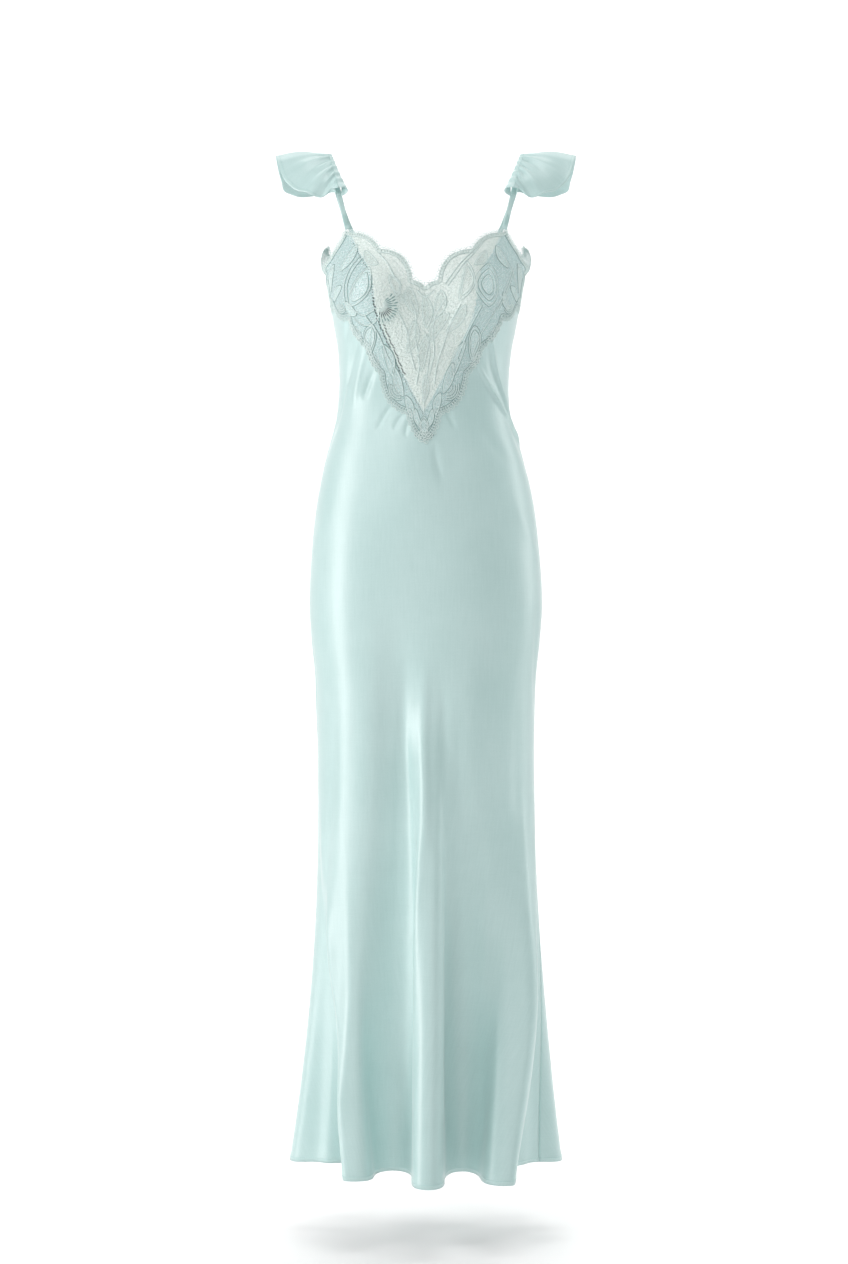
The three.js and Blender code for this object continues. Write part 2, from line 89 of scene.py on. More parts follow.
# Folds that hang from the hips. Angles are degrees round the dress from the centre front. A fold
# starts at z and stands out at the hem towards its bearing, and curl steepens its flanks.
FOLDS = table(
    "z crest_top crest_hem left_top left_hem right_top right_hem out curl bearing power",
    (-735, 0.7, 0.7, 15, 12, 15, 12.5, 92, 0.55, 0, 1.25),
    (-850, -75, -36, 12, 8, 69, 30, 63, 0.5, -10, 1.25),
    (-850, 83, 37, 76, 30, 12, 10, 85, 0.5, 10, 1.25),
    (-900, -54, -54, 14, 12, 14, 11, -24, 0, -50, 1.5),
    (-900, -90, -90, 28, 28, 28, 28, 36, 0.3, -90, 1.9),
    (-900, 90, 90, 28, 28, 28, 28, 36, 0.3, 90, 1.9),
    (-880, 124, 120, 16, 14, 18, 15, 40, 0.45, 132, 1.3),
    (-760, 152, 151, 18, 15, 17, 14, 62, 0.5, 158, 1.25),
    (-840, 184, 182, 17, 14, 16, 14, 50, 0.5, 181, 1.35),
    (-780, 212, 214, 17, 15, 18, 15, 66, 0.5, 204, 1.25),
    (-900, 242, 243, 15, 13, 16, 14, 42, 0.45, 230, 1.3),
)

# Creases pressed and pulled into the satin, as soft ridges (positive) and troughs (negative) from
# one place to another on a panel: distance from the centre line and height. Each bows a little.
CREASE_BOW = 4
FRONT_CREASES = table(
    "across0 z0 across1 z1 height width",
    (94, -244, 186, -392, 4.4, 3.0),
    (84, -290, 182, -386, 4.2, 2.8),
    (98, -262, 134, -322, -2.0, 8),
    (62, -330, 118, -420, -1.6, 11),
    (-106, -226, -126, -256, -2.6, 5),
    (-100, -256, -134, -310, -3.4, 7),
    (-80, -300, -98, -334, -3.0, 5),
    (-92, -272, -118, -342, 2.2, 6),
    (-128, -300, -158, -376, -1.2, 3),
    (-50, -346, -70, -380, -2.0, 4),
    (-31, -358, -44, -378, -1.8, 3.2),
    (-20, -362, -27, -388, -1.6, 2.6),
    (34, -344, 46, -376, -1.4, 4),
    (14, -400, 24, -450, -1.2, 5),
    (-150, -330, -170, -410, -1.4, 9),
    (158, -334, 176, -430, -1.5, 9),
    (-168, -668, -176, -752, -1.6, 5),
    (-176, -690, -182, -790, 1.2, 4),
    (120, -470, 168, -560, 1.1, 12),
    (-118, -480, -170, -548, 1.0, 12),
    (150, -600, 174, -760, -1.4, 8),
    (-60, -640, -66, -900, 1.3, 14),
    (58, -660, 70, -940, 1.2, 15),
    (-1, -706, 1, -930, 4.4, 8),
    (-3, -850, -8, -1345, 4.6, 8),
    (-26, -706, -30, -1030, -4.8, 9),
    (-34, -660, -33, -1355, -13.5, 27),
    (-92, -500, -88, -780, 3.4, 34),
    (-20, -950, -18, -1335, -4.6, 8),
    (-133, -950, -133, -1350, -8.0, 12),
    (-104, -700, -108, -1100, 3.8, 20),
    (22, -730, 36, -1020, -3.2, 8),
    (36, -930, 60, -1310, -3.0, 9),
    (132, -920, 147, -1350, 8.5, 15),
    (66, -980, 74, -1355, -7.0, 24),
    (-78, -720, -78, -1130, 4.4, 19),
    (-18, -330, -10, -520, 5.0, 45),
    (-120, -760, -128, -1040, -1.4, 10),
    (122, -740, 132, -1010, -1.3, 10),
    (-8, -940, -10, -1340, 1.0, 3.5),
    (88, -880, 92, -1250, 1.6, 9),
)
BACK_CREASES = table(
    "across0 z0 across1 z1 height width",
    (-104, -236, -158, -306, 2.0, 5),
    (-84, -284, -140, -372, 2.4, 6),
    (100, -240, 150, -322, 2.2, 6),
    (70, -300, 128, -396, 1.8, 6),
    (-30, -330, 34, -344, -1.8, 8),
    (-52, -360, 40, -372, 1.4, 8),
    (112, -276, 150, -342, -1.8, 7),
    (-118, -268, -150, -330, -1.8, 7),
    (-96, -690, -104, -900, -1.8, 13),
    (4, -620, 2, -820, -2.4, 16),
    (92, -680, 104, -930, -1.6, 13),
    (-160, -640, -172, -790, 1.4, 7),
    (158, -650, 172, -800, 1.4, 7),
    (-50, -900, -54, -1320, 1.5, 8),
    (46, -880, 54, -1300, 1.6, 8),
    (112, -930, 108, -1330, -1.6, 7),
    (-118, -960, -112, -1330, -1.6, 7),
    (-146, -1000, -142, -1340, 1.2, 6),
    (148, -980, 140, -1340, 1.2, 6),
)


def along(rows, key, column, at):
    """Value of a column on a smooth curve through the rows of a table."""
    k, v = rows[key], rows[column]
    if k[0] > k[-1]:
        k, v = k[::-1], v[::-1]
    last = len(k) - 1
    lower = np.maximum(np.arange(last + 1) - 1, 0)
    upper = np.minimum(np.arange(last + 1) + 1, last)
    slope = (v[upper] - v[lower]) / (k[upper] - k[lower])
    i = np.clip(np.searchsorted(k, at) - 1, 0, last - 1)
    span = k[i + 1] - k[i]
    t = np.clip((at - k[i]) / span, 0, 1)
    start = (2 * t**3 - 3 * t**2 + 1) * v[i] + (t**3 - 2 * t**2 + t) * span * slope[i]
    return start + (3 * t**2 - 2 * t**3) * v[i + 1] + (t**3 - t**2) * span * slope[i + 1]


def smoothstep(x, low, high):
    t = np.clip((x - low) / (high - low), 0, 1)
    return t * t * (3 - 2 * t)


def unit(vectors):
    return vectors / np.maximum(np.linalg.norm(vectors, axis=-1, keepdims=True), 1e-9)


def squared(wave, half, power):
    """A sine or cosine, times a half width, squared off as for a rounded box."""
    return half * np.sign(wave) * np.abs(wave) ** power


def body_point(degrees, z):
    """Point of the dress without its folds, at an angle round it and a height."""
    angle = np.radians(degrees)
    sin, cos = np.sin(angle), np.cos(angle)
    wide, fore, rear = (along(SECTIONS, "z", column, z) for column in ("width", "front", "back"))
    x = squared(sin, wide, 2 / ROUNDNESS)
    y = -squared(cos, np.where(cos > 0, fore, rear), 2 / ROUNDNESS)
    off_x = (np.abs(x) - BUST["x"]) / BUST["half_width"]
    off_z = (z - BUST["z"]) / BUST["half_height"]
    y = y - BUST["out"] * np.exp(-(off_x**2) - off_z**2) * smoothstep(cos, 0, 0.5)
    return np.stack([x, y, z + 0 * x], -1)


def cloth_point(degrees, z):
    """Point of the dress with its folds pushed out."""
    degrees, z = np.broadcast_arrays(np.asarray(degrees, float), np.asarray(z, float))
    point = body_point(degrees, z)
    point[..., 0] += along(SECTIONS, "z", "shift", z)
    drop = np.zeros(z.shape)
    for row in zip(*FOLDS.values()):
        fold = dict(zip(FOLDS, row))
        if (z >= fold["z"]).all():
            continue
        grown = np.clip((fold["z"] - z) / (fold["z"] - HEM_Z), 0, 1.1)
        crest, left, right = (
            fold[part + "_top"] + (fold[part + "_hem"] - fold[part + "_top"]) * grown
            for part in ("crest", "left", "right"))
        off = np.mod(degrees - crest + 180, 360) - 180
        flank = np.where(off < 0, left, right)
        phase = np.pi * np.clip(off / flank, -1, 1)
        size = grown ** fold["power"]
        out = fold["out"] * size * (1 + np.cos(phase)) / 2
        foot = body_point(crest + np.sign(off) * flank, z)
        reach = np.linalg.norm(body_point(crest, z) - foot, axis=-1)
        side = fold["curl"] * size * reach / np.pi * np.sin(2 * phase)
        bearing = math.radians(fold["bearing"])
        point[..., 0] += out * math.sin(bearing) + side * math.cos(bearing)
        point[..., 1] += -out * math.cos(bearing) + side * math.sin(bearing)
        drop += HEM_DROP * np.maximum(out, 0) / FULL_FOLD * grown**3
    point[..., 2] -= drop
    return point


class Panel:
    """One side of the dress: places on it are a share of the cloth from side seam (-1) to side seam
    (1) and a height."""

    LEVELS, SHARES, STEPS = 420, 481, 960

    def __init__(self, side, creases):
        self.creases = creases
        self.levels = np.linspace(TOP_Z, HEM_Z, self.LEVELS)
        shares = np.linspace(0, 1, self.SHARES)
        turn = smoothstep(SEAM_TURN["from"] - self.levels, 0, SEAM_TURN["from"] - HEM_Z)
        left = -90 + (SEAM_TURN["left_hem"] + 90) * turn
        right = 90 + (SEAM_TURN["right_hem"] - 90) * turn
        start, end = (left, right) if side == "front" else (right, left + 360)
        steps = np.linspace(0, 1, self.STEPS)
        degrees = start[:, None] + (end - start)[:, None] * steps
        points = cloth_point(degrees, self.levels[:, None])
        pieces = np.linalg.norm(np.diff(points, axis=1), axis=2)
        lengths = np.concatenate([np.zeros((self.LEVELS, 1)), np.cumsum(pieces, 1)], 1)
        self.length = lengths[:, -1]
        rows = [np.interp(shares * run[-1], run, angle) for run, angle in zip(lengths, degrees)]
        self.degrees = np.array(rows)

    def base(self, share, z):
        level = np.clip((z - TOP_Z) / (HEM_Z - TOP_Z), 0, 1) * (self.LEVELS - 1)
        place = np.clip((share + 1) / 2, 0, 1) * (self.SHARES - 1)
        i = np.minimum(level.astype(int), self.LEVELS - 2)
        j = np.minimum(place.astype(int), self.SHARES - 2)
        a, b = level - i, place - j
        near = self.degrees[i, j] * (1 - b) + self.degrees[i, j + 1] * b
        far = self.degrees[i + 1, j] * (1 - b) + self.degrees[i + 1, j + 1] * b
        return cloth_point(near * (1 - a) + far * a, z)

    def relief(self, share, z):
        """Height of the pressed creases and of the seam's groove above the plain surface."""
        across, down = (share * PANEL_HALF_WIDTH)[..., None], z[..., None]
        a0, z0, a1, z1, tall, width = self.creases.values()
        run_a, run_z = a1 - a0, z1 - z0
        size = np.hypot(run_a, run_z)
        t = ((across - a0) * run_a + (down - z0) * run_z) / size**2
        bow = np.minimum(0.05 * size, CREASE_BOW) * np.sin(np.pi * np.clip(t, 0, 1))
        off = ((across - a0) * run_z - (down - z0) * run_a) / size - bow
        fade = np.sin(np.pi * np.clip((t + 0.08) / 1.16, 0, 1)) ** 0.8
        height = (tall * fade * np.exp(-((off / width) ** 2))).sum(-1)
        edge = (1 - np.abs(share)) * self.half_length(z)
        pucker = SEAM["pucker"] * np.sin(z / 2.4) * np.sin(z / 17)
        pucker = pucker * np.exp(-((edge / SEAM["pucker_width"]) ** 2))
        return height + pucker - SEAM["groove"] * np.exp(-((edge / SEAM["groove_width"]) ** 2))

    def half_length(self, z):
        """Half of the cloth's length from seam to seam, at a height."""
        return np.interp(-z, -self.levels, self.length) / 2

    def flat(self, share, z):
        """Places on the cloth as it lies flat."""
        return np.stack([share * self.half_length(z), z], -1)

    def place(self, share, z, offset=0):
        """Points of the cloth's surface, moved out by an offset, and the directions out from it."""
        share, z = np.broadcast_arrays(np.clip(share, -1, 1), np.asarray(z, float))
        base = self.base(share, z)
        step = np.where(share > 0, -0.004, 0.004)
        across = (self.base(share + step, z) - base) / step[..., None]
        out = unit(np.cross(self.base(share, z - 1) - base, across))
        return base + out * (self.relief(share, z) + offset)[..., None], out

    def point(self, share, z, offset=0):
        return self.place(share, z, offset)[0]


front = Panel("front", FRONT_CREASES)
back = Panel("back", BACK_CREASES)

# Edges of the panels from the centre to the side seam: column, distance from the centre line,
# height, and how far the scallop that ends at this row bulges past its chord. The last column is the
# side seam.
FRONT_LACE_TOP = table(
    "column across z bulge",
    (0, 0, -190, 0),
    (2, 16, -181.6, -2),
    (10, 62.3, -138, -14),
    (16, 110, -112, -7),
    (17, 124, -108, 0),
    (19, 143, -136, 3),
    (21, 162, -151, 1),
    (24, 190, -171, 0),
)
FRONT_SATIN_TOP = table(
    "column across z bulge",
    (0, 0, -356, 0),
    (4.5, 39.7, -293, 0),
    (7, 54.7, -257, 0),
    (8.5, 61, -233, 0),
    (11.5, 64.5, -186, 0),
    (13, 71.4, -166, 0),
    (14.5, 91.2, -142, 0),
    (16, 109.5, -118, 0),
    (17, 123, -113, 0),
    (19, 143, -141, 3),
    (21, 162, -156, 1),
    (24, 190, -175, 0),
)
FRONT_LACE_BOTTOM = table(
    "column across z bulge",
    (0, 0, -396, 0),
    (3, 23, -356, 5),
    (8, 66.5, -303, 13),
    (12, 86, -267, 5),
    (16, 109, -228, 6),
    (21, 150, -207, 8),
    (24, 190, -205, 6),
)
BACK_LACE_TOP = table(
    "column across z bulge",
    (0, 0, -168, 0),
    (2.5, 24, -163, -5),
    (6, 58, -143, -6),
    (9, 88, -122, -5),
    (12.5, 122, -127, -5),
    (15, 147, -142, -4),
    (16.5, 159, -126, -3),
    (18.5, 178, -123, -3),
    (20, 190, -157, -7),
)
BACK_SATIN_TOP = table(
    "column across z bulge",
    (0, 0, -186, 0),
    (6, 58, -161, 0),
    (9, 88, -142, 0),
    (12.5, 122, -145, 0),
    (16, 155, -160, 0),
    (20, 190, -175, 0),
)
BACK_LACE_BOTTOM = table(
    "column across z bulge",
    (0, 0, -212, 0),
    (2.5, 24, -204, 5),
    (6, 58, -188, 6),
    (9, 88, -170, 5),
    (12.5, 122, -173, 6),
    (16, 155, -186, 6),
    (20, 190, -205, 5),
)


def edge_places(edge, columns):
    """Places (across, z) of an edge at the given columns, which are negative on the left half."""
    c = np.abs(columns)
    i = np.clip(np.searchsorted(edge["column"], c), 1, len(edge["column"]) - 1)
    t = (c - edge["column"][i - 1]) / (edge["column"][i] - edge["column"][i - 1])
    run = edge["across"][i] - edge["across"][i - 1]
    rise = edge["z"][i] - edge["z"][i - 1]
    bulge = edge["bulge"][i] * np.sin(np.pi * np.clip(t, 0, 1)) ** 0.8 / np.hypot(run, rise)
    across = edge["across"][i - 1] + run * t + rise * bulge
    return np.stack([across * np.sign(columns), edge["z"][i - 1] + rise * t - run * bulge], -1)


def rows_between(upper, lower, count):
    """Rows of places from one edge to another, both included."""
    t = np.linspace(0, 1, count + 1)[:, None, None]
    return upper * (1 - t) + lower * t


def link(name, data):
    piece = bpy.data.objects.new(name, data)
    bpy.context.scene.collection.objects.link(piece)
    return piece


def mesh_piece(name, points, faces, uv, material, slot):
    """A smooth-shaded mesh of quads from points in millimetres. uv holds one place a point."""
    mesh = bpy.data.meshes.new(name)
    mesh.vertices.add(len(points))
    mesh.vertices.foreach_set("co", (points * MM).astype(np.float32).ravel())
    mesh.loops.add(faces.size)
    mesh.loops.foreach_set("vertex_index", faces.astype(np.int32).ravel())
    mesh.polygons.add(len(faces))
    mesh.polygons.foreach_set("loop_start", np.arange(0, faces.size, 4, dtype=np.int32))
    mesh.update(calc_edges=True)
    mesh.shade_smooth()
    layer = mesh.uv_layers.new(name="cloth")
    layer.data.foreach_set("uv", (uv[faces.ravel()] * MM).astype(np.float32).ravel())
    mesh.materials.append(material)
    piece = link(name, mesh)
    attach(piece, "root")
    return piece


def grid_faces(rows, columns, start=0, flip=False):
    r, c = np.meshgrid(np.arange(rows - 1), np.arange(columns - 1), indexing="ij")
    a = (start + r * columns + c).ravel()
    quads = np.stack([a, a + columns, a + columns + 1, a + 1], 1)
    return quads[:, ::-1] if flip else quads


def thin_shell(outer, inner, uv):
    """Points, faces and flat places of a closed shell: an outer grid, an inner one, and the rim."""
    rows, columns = outer.shape[:2]
    n = rows * columns
    top, bottom = np.arange(columns), (rows - 1) * columns + np.arange(columns)
    left, right = np.arange(rows) * columns, np.arange(rows) * columns + columns - 1
    rims = []
    for line, turned in ((top, False), (bottom, True), (left, True), (right, False)):
        a, b = line[:-1], line[1:]
        quads = np.stack([a, b, b + n, a + n], 1)
        rims.append(quads[:, ::-1] if turned else quads)
    faces = [grid_faces(rows, columns), grid_faces(rows, columns, n, True), *rims]
    points = np.concatenate([outer.reshape(-1, 3), inner.reshape(-1, 3)])
    return points, np.concatenate(faces), np.concatenate([uv.reshape(-1, 2)] * 2)


class Value:
    """One output of a material's node, so that shader maths reads as plain sums."""

    def __init__(self, finish, socket):
        self.finish, self.socket = finish, socket

    def maths(self, operation, first, second):
        return self.finish.node("ShaderNodeMath", {"operation": operation}, {0: first, 1: second})

    def __add__(self, other):
        return self.maths("ADD", self, other)

    def __radd__(self, other):
        return self.maths("ADD", other, self)

    def __sub__(self, other):
        return self.maths("SUBTRACT", self, other)

    def __rsub__(self, other):
        return self.maths("SUBTRACT", other, self)

    def __mul__(self, other):
        return self.maths("MULTIPLY", self, other)

    def __rmul__(self, other):
        return self.maths("MULTIPLY", other, self)


class Finish:
    """A material in the making."""

    def __init__(self, name):
        self.material = bpy.data.materials.new(name)
        self.material.use_nodes = True
        self.tree = self.material.node_tree
        self.tree.nodes.clear()

    def node(self, kind, settings=None, sockets=None, output=0):
        """A node of a type, with its settings and the values or links of its sockets."""
        node = self.tree.nodes.new(kind)
        for key, setting in (settings or {}).items():
            setattr(node, key, setting)
        for key, value in (sockets or {}).items():
            if isinstance(value, Value):
                self.tree.links.new(value.socket, node.inputs[key])
            else:
                node.inputs[key].default_value = value
        return None if output is None else Value(self, node.outputs[output])

    def colour(self, factor, *ends):
        """A mix of two colours, which are tuples or values."""
        low, high = (end if isinstance(end, Value) else (*end, 1) for end in ends)
        return self.node("ShaderNodeMix", {"data_type": "RGBA"}, {0: factor, 6: low, 7: high}, 2)

    def smooth(self, value, low, high):
        """0 to 1 as the value goes from low to high."""
        sockets = {"Value": value, "From Min": low, "From Max": high}
        return self.node("ShaderNodeMapRange", {"interpolation_type": "SMOOTHSTEP"}, sockets)

    def bump(self, height, strength, distance):
        sockets = {"Height": height, "Strength": strength, "Distance": distance}
        return self.node("ShaderNodeBump", None, sockets)

    def surface(self, sockets):
        shader = self.node("ShaderNodeBsdfPrincipled", None, sockets)
        self.node("ShaderNodeOutputMaterial", None, {"Surface": shader}, None)
        return self.material

    def noise(self, vector, scale, detail=2.0, stretch=(1, 1, 1)):
        """Noise of a size: scale in lumps a metre, stretched along the axes."""
        placed = self.node("ShaderNodeMapping", None, {"Vector": vector, "Scale": stretch})
        sockets = {"Vector": placed, "Scale": scale, "Detail": detail}
        return self.node("ShaderNodeTexNoise", None, sockets)


SATIN_LIGHT, SATIN_DARK = (0.55, 0.74, 0.724), (0.47, 0.668, 0.648)


def satin_finish():
    """Glossy polyester satin: slubs along warp and weft, a fine grain and a soft sheen."""
    finish = Finish("satin_cloth")
    cloth = finish.node("ShaderNodeUVMap", {"uv_map": "cloth"})
    down = finish.noise(cloth, 420, 3, (1, 0.07, 1))
    over = finish.noise(cloth, 420, 3, (0.09, 1, 1))
    grain = finish.noise(cloth, 640, 3)
    cloud = finish.noise(cloth, 9, 3)
    slubs = down * 0.4 + over * 0.2 + grain * 0.4
    shade = finish.smooth(slubs * 0.6 + cloud * 0.4, 0.3, 0.7)
    return finish.surface({
        "Base Color": finish.colour(shade, SATIN_DARK, SATIN_LIGHT),
        "Roughness": 0.30 + slubs * 0.16,
        "Specular IOR Level": 1.0,
        "Sheen Weight": 0.35,
        "Sheen Roughness": 0.4,
        "Normal": finish.bump(slubs, 0.3, 0.0004),
    })


SATIN = satin_finish()
PANEL_COLUMNS, BODICE_ROWS, SKIRT_ROWS = 200, 84, 150
HEM_DEPTH = 7


def satin_panel(side, panel, top_edge):
    last = top_edge["column"][-1]
    columns = np.linspace(-last, last, PANEL_COLUMNS + 1)
    hip = np.stack([PANEL_HALF_WIDTH * columns / last, np.full(columns.shape, HIP_Z)], -1)
    hem = np.stack([hip[:, 0], np.full(columns.shape, HEM_Z)], -1)
    bodice = rows_between(edge_places(top_edge, columns), hip, BODICE_ROWS)
    places = np.concatenate([bodice, rows_between(hip, hem, SKIRT_ROWS)[1:]])
    share, z = places[..., 0] / PANEL_HALF_WIDTH, places[..., 1]
    turned_up = 0.5 * smoothstep(z, HEM_Z + HEM_DEPTH + 0.6, HEM_Z + HEM_DEPTH - 0.6)
    outer = panel.point(share, z, turned_up)
    inner = panel.point(share, z, -SATIN_THICKNESS - turned_up)
    shell = thin_shell(outer, inner, panel.flat(share, z))
    piece = mesh_piece(f"satin_{side}_cloth", *shell, SATIN, "satin")
    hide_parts(f"satin_{side}")
    return piece


satin_front = satin_panel("front", front, FRONT_SATIN_TOP)
satin_back = satin_panel("back", back, BACK_SATIN_TOP)


# Sewing on the satin. A rolled edge of self satin runs along the V and the armholes, and the narrow
# hem is turned up and topstitched. Matching thread, set slightly into the cloth.
EDGE_WIDTH, EDGE_HEIGHT = 1.5, 1.1
STITCH_PITCH, STITCH_WIDTH, STITCH_HEIGHT, STITCH_RISE = 3.1, 0.5, 0.35, 5.4


class Batch:
    """Small solids of one kind, gathered in one piece."""

    def __init__(self):
        self.points, self.faces, self.uv, self.count = [], [], [], 0

    def add(self, points, faces, uv):
        self.points.append(points.reshape(-1, 3))
        self.faces.append(faces + self.count)
        self.uv.append(uv.reshape(-1, 2))
        self.count += len(self.points[-1])

    def piece(self, name, material, slot):
        parts = (np.concatenate(part) for part in (self.points, self.faces, self.uv))
        return mesh_piece(name, *parts, material, slot)


def tube_faces(rows, n, closed=False):
    """Faces of a tube through rows of rings, its ends capped unless it closes on itself."""
    r, k = np.arange(rows if closed else rows - 1), np.arange(n)
    here = (r[:, None] * n + k).ravel()
    turned = (r[:, None] * n + (k + 1) % n).ravel()
    last = rows * n
    faces = [np.stack([here, turned, (turned + n) % last, (here + n) % last], 1)]
    if not closed:
        for i in range(1, n - 2, 2):
            first = np.array([[0, i + 2, i + 1, i]])
            faces += [first, last - n + first[:, ::-1]]
    return np.concatenate(faces)


def directions(line, closed=False):
    """Directions along a line, one at each of its points."""
    return unit(np.roll(line, -1, 0) - np.roll(line, 1, 0) if closed else np.gradient(line, axis=0))


def sweep(batch, centre, normal, wide, tall, corners=4, closed=False):
    """A rod along a line of points: wide across the surface below it, and tall along its normal."""
    tangent = directions(centre, closed)
    side = unit(np.cross(tangent, normal))
    up = np.cross(side, tangent)
    angle = 2 * math.pi * (np.arange(corners) + 0.5) / corners
    half_wide = np.broadcast_to(wide, len(centre))[:, None, None] / 2
    ring = centre[:, None] + side[:, None] * np.cos(angle)[:, None] * half_wide
    ring = ring + up[:, None] * np.sin(angle)[:, None] * tall / 2
    around = np.arange(corners) * (wide if np.isscalar(wide) else 1.0)
    uv = np.stack(np.broadcast_arrays(lengths_along(centre)[:, None], around), -1)
    batch.add(ring, tube_faces(len(centre), corners, closed), uv)


def lengths_along(line):
    return np.concatenate([[0], np.cumsum(np.linalg.norm(np.diff(line, axis=0), axis=1))])


def resample(points, step):
    """Points a step apart along a line."""
    length = lengths_along(points)
    at = np.linspace(0, length[-1], max(3, int(round(length[-1] / step)) + 1))
    return np.stack([np.interp(at, length, column) for column in points.T], 1)


def on_panel(panel, places, offset):
    return panel.place(places[:, 0] / PANEL_HALF_WIDTH, places[:, 1], offset)


def left_of(run):
    """A direction on the cloth turned a quarter to its left."""
    return np.stack([-run[..., 1], run[..., 0]], -1)


def edge_line(edge, step, inset, columns=None):
    """Places a step apart along an edge, or a part of it between two columns, moved in from it."""
    first, last = columns or (-edge["column"][-1], edge["column"][-1])
    line = resample(edge_places(edge, np.linspace(first, last, 1200)), step)
    return line - inset * left_of(directions(line))


def stitches(batch, centre, normal, pitch=STITCH_PITCH):
    """Topstitching along a line of closely spaced points."""
    line = resample(np.concatenate([centre, normal], 1), pitch / 4)
    for i in range(0, len(line) - 4, 4):
        part = line[i:i + 4]
        sweep(batch, part[:, :3], part[:, 3:], STITCH_WIDTH, STITCH_HEIGHT)


def thread_finish(name, low, high):
    """Matt sewing thread, its twist showing as faint bands."""
    finish = Finish(name)
    place = finish.node("ShaderNodeUVMap", {"uv_map": "cloth"})
    twist = finish.noise(place, 1800, 2)
    return finish.surface({
        "Base Color": finish.colour(twist, low, high),
        "Roughness": 0.5 + twist * 0.2,
        "Normal": finish.bump(twist, 0.3, 0.0002),
    })


THREAD = thread_finish("sewing_thread", (0.36, 0.60, 0.575), (0.50, 0.73, 0.70))
edging, hem_stitching = Batch(), Batch()
for panel, edge in ((front, FRONT_SATIN_TOP), (back, BACK_SATIN_TOP)):
    sweep(edging, *on_panel(panel, edge_line(edge, 2.2, 0.6), -0.1), EDGE_WIDTH, EDGE_HEIGHT, 6)
    hem = np.linspace(-0.998, 0.998, 900)
    stitches(hem_stitching, *panel.place(hem, HEM_Z + STITCH_RISE, 0.55))
edging.piece("satin_edging", SATIN, "satin")
hem_stitching.piece("hem_stitching", THREAD, "satin")


# Lace. One piece of soft net with a corded floral pattern and scalloped edges lies over the V and the
# cups, and a narrow one borders the back. Both are caught down to the satin along their edges.
LACE_COLUMNS, FRONT_LACE_ROWS, BACK_LACE_ROWS = 200, 110, 34
LACE_GAP = 0.55
ARMHOLE_LOBE = {"out": 7, "z": -141, "half_height": 19, "from": 144, "to": 165}
NET_PITCH, NET_ROW = 0.0024, 0.866
BACK_SHEER = 0.3
# SHEER_NET's tones are painted paler than BACKED_NET's, for the light and pale backing that show through
# the net.
SHEER_NET = ((0.67, 0.79, 0.75), (0.84, 0.94, 0.90))
BACKED_NET = ((0.54, 0.765, 0.755), (0.855, 0.98, 0.975))


def lace_finish(name, hole_from, hole_to, denser=0.0):
    """Hexagonal net with denser worked clouds, its holes left open by alpha. The mesh's own value
    for sheer is 1 where nothing lies behind the net, and there it is closer, its tones painted paler for
    the light and pale backing that show through it."""
    finish = Finish(name)
    sheer = finish.node("ShaderNodeAttribute", {"attribute_name": "sheer"}, None, 2)
    cloth = finish.node("ShaderNodeUVMap", {"uv_map": "cloth"})
    across, down = (finish.node("ShaderNodeSeparateXYZ", None, {"Vector": cloth}, k) for k in (0, 1))
    turn = 2 * math.pi / (NET_PITCH * NET_ROW)
    waves = 0
    for k in range(3):
        angle = math.pi * (k / 3 + 0.1)
        phase = across * (math.cos(angle) * turn) + down * (math.sin(angle) * turn)
        waves = finish.node("ShaderNodeMath", {"operation": "COSINE"}, {0: phase}) + waves
    worked = finish.smooth(finish.noise(cloth, 260, 3), 0.48, 0.60)
    pebbles = finish.noise(cloth, 470, 3)
    hole = finish.smooth(waves - worked * 1.3 - sheer * denser, hole_from, hole_to)
    tone = finish.smooth(pebbles, 0.36, 0.64)
    colours = [finish.colour(tone, *tones) for tones in (BACKED_NET, SHEER_NET)]
    return finish.surface({
        "Base Color": finish.colour(sheer, *colours),
        "Roughness": 0.55 + tone * 0.2,
        "Alpha": 1.0 - hole * 0.92,
        "Normal": finish.bump(pebbles + worked * 0.6, 1.0, 0.0009),
    })


LACE_NET = lace_finish("lace_net", -1.0, 0.5, 2.4)
CORD = thread_finish("lace_cord", (0.66, 0.80, 0.775), (0.82, 0.93, 0.91))
# Painted shadow: near-black thin sheets laid in slits of the lace, where open eyelets would show shade.
SHADE = thread_finish("lace_painted_shadow", (0.045, 0.07, 0.068), (0.12, 0.18, 0.175))
# Painted shade: dark teal lines beside the cords and in the fan, for the shade seen through open net.
GAP_SHADE = thread_finish("lace_painted_gap_shade", (0.17, 0.32, 0.31), (0.29, 0.46, 0.45))


def on_lace(panel, places, lift=0.0):
    """Points and directions on the lace, which stands out a little in its lobes at the armholes."""
    across, z = places[..., 0], places[..., 1]
    near = np.clip(1 - ((z - ARMHOLE_LOBE["z"]) / ARMHOLE_LOBE["half_height"]) ** 2, 0, 1) ** 0.6
    flare = ARMHOLE_LOBE["out"] * near
    flare = flare * smoothstep(np.abs(across), ARMHOLE_LOBE["from"], ARMHOLE_LOBE["to"])
    return panel.place(across / PANEL_HALF_WIDTH, z, LACE_GAP + lift + flare)


def above_satin(places, satin_edge):
    """1 for each place on the lace that has no satin behind it, and 0 elsewhere."""
    satin = edge_places(satin_edge, np.linspace(0, satin_edge["column"][-1], 400))
    height = np.interp(np.abs(places[..., 0]), satin[:, 0], satin[:, 1])
    return (places[..., 1] > height).astype(np.float32).ravel()


def mark_sheer(piece, values):
    sheer = piece.data.attributes.new("sheer", "FLOAT", "POINT")
    sheer.data.foreach_set("value", values)


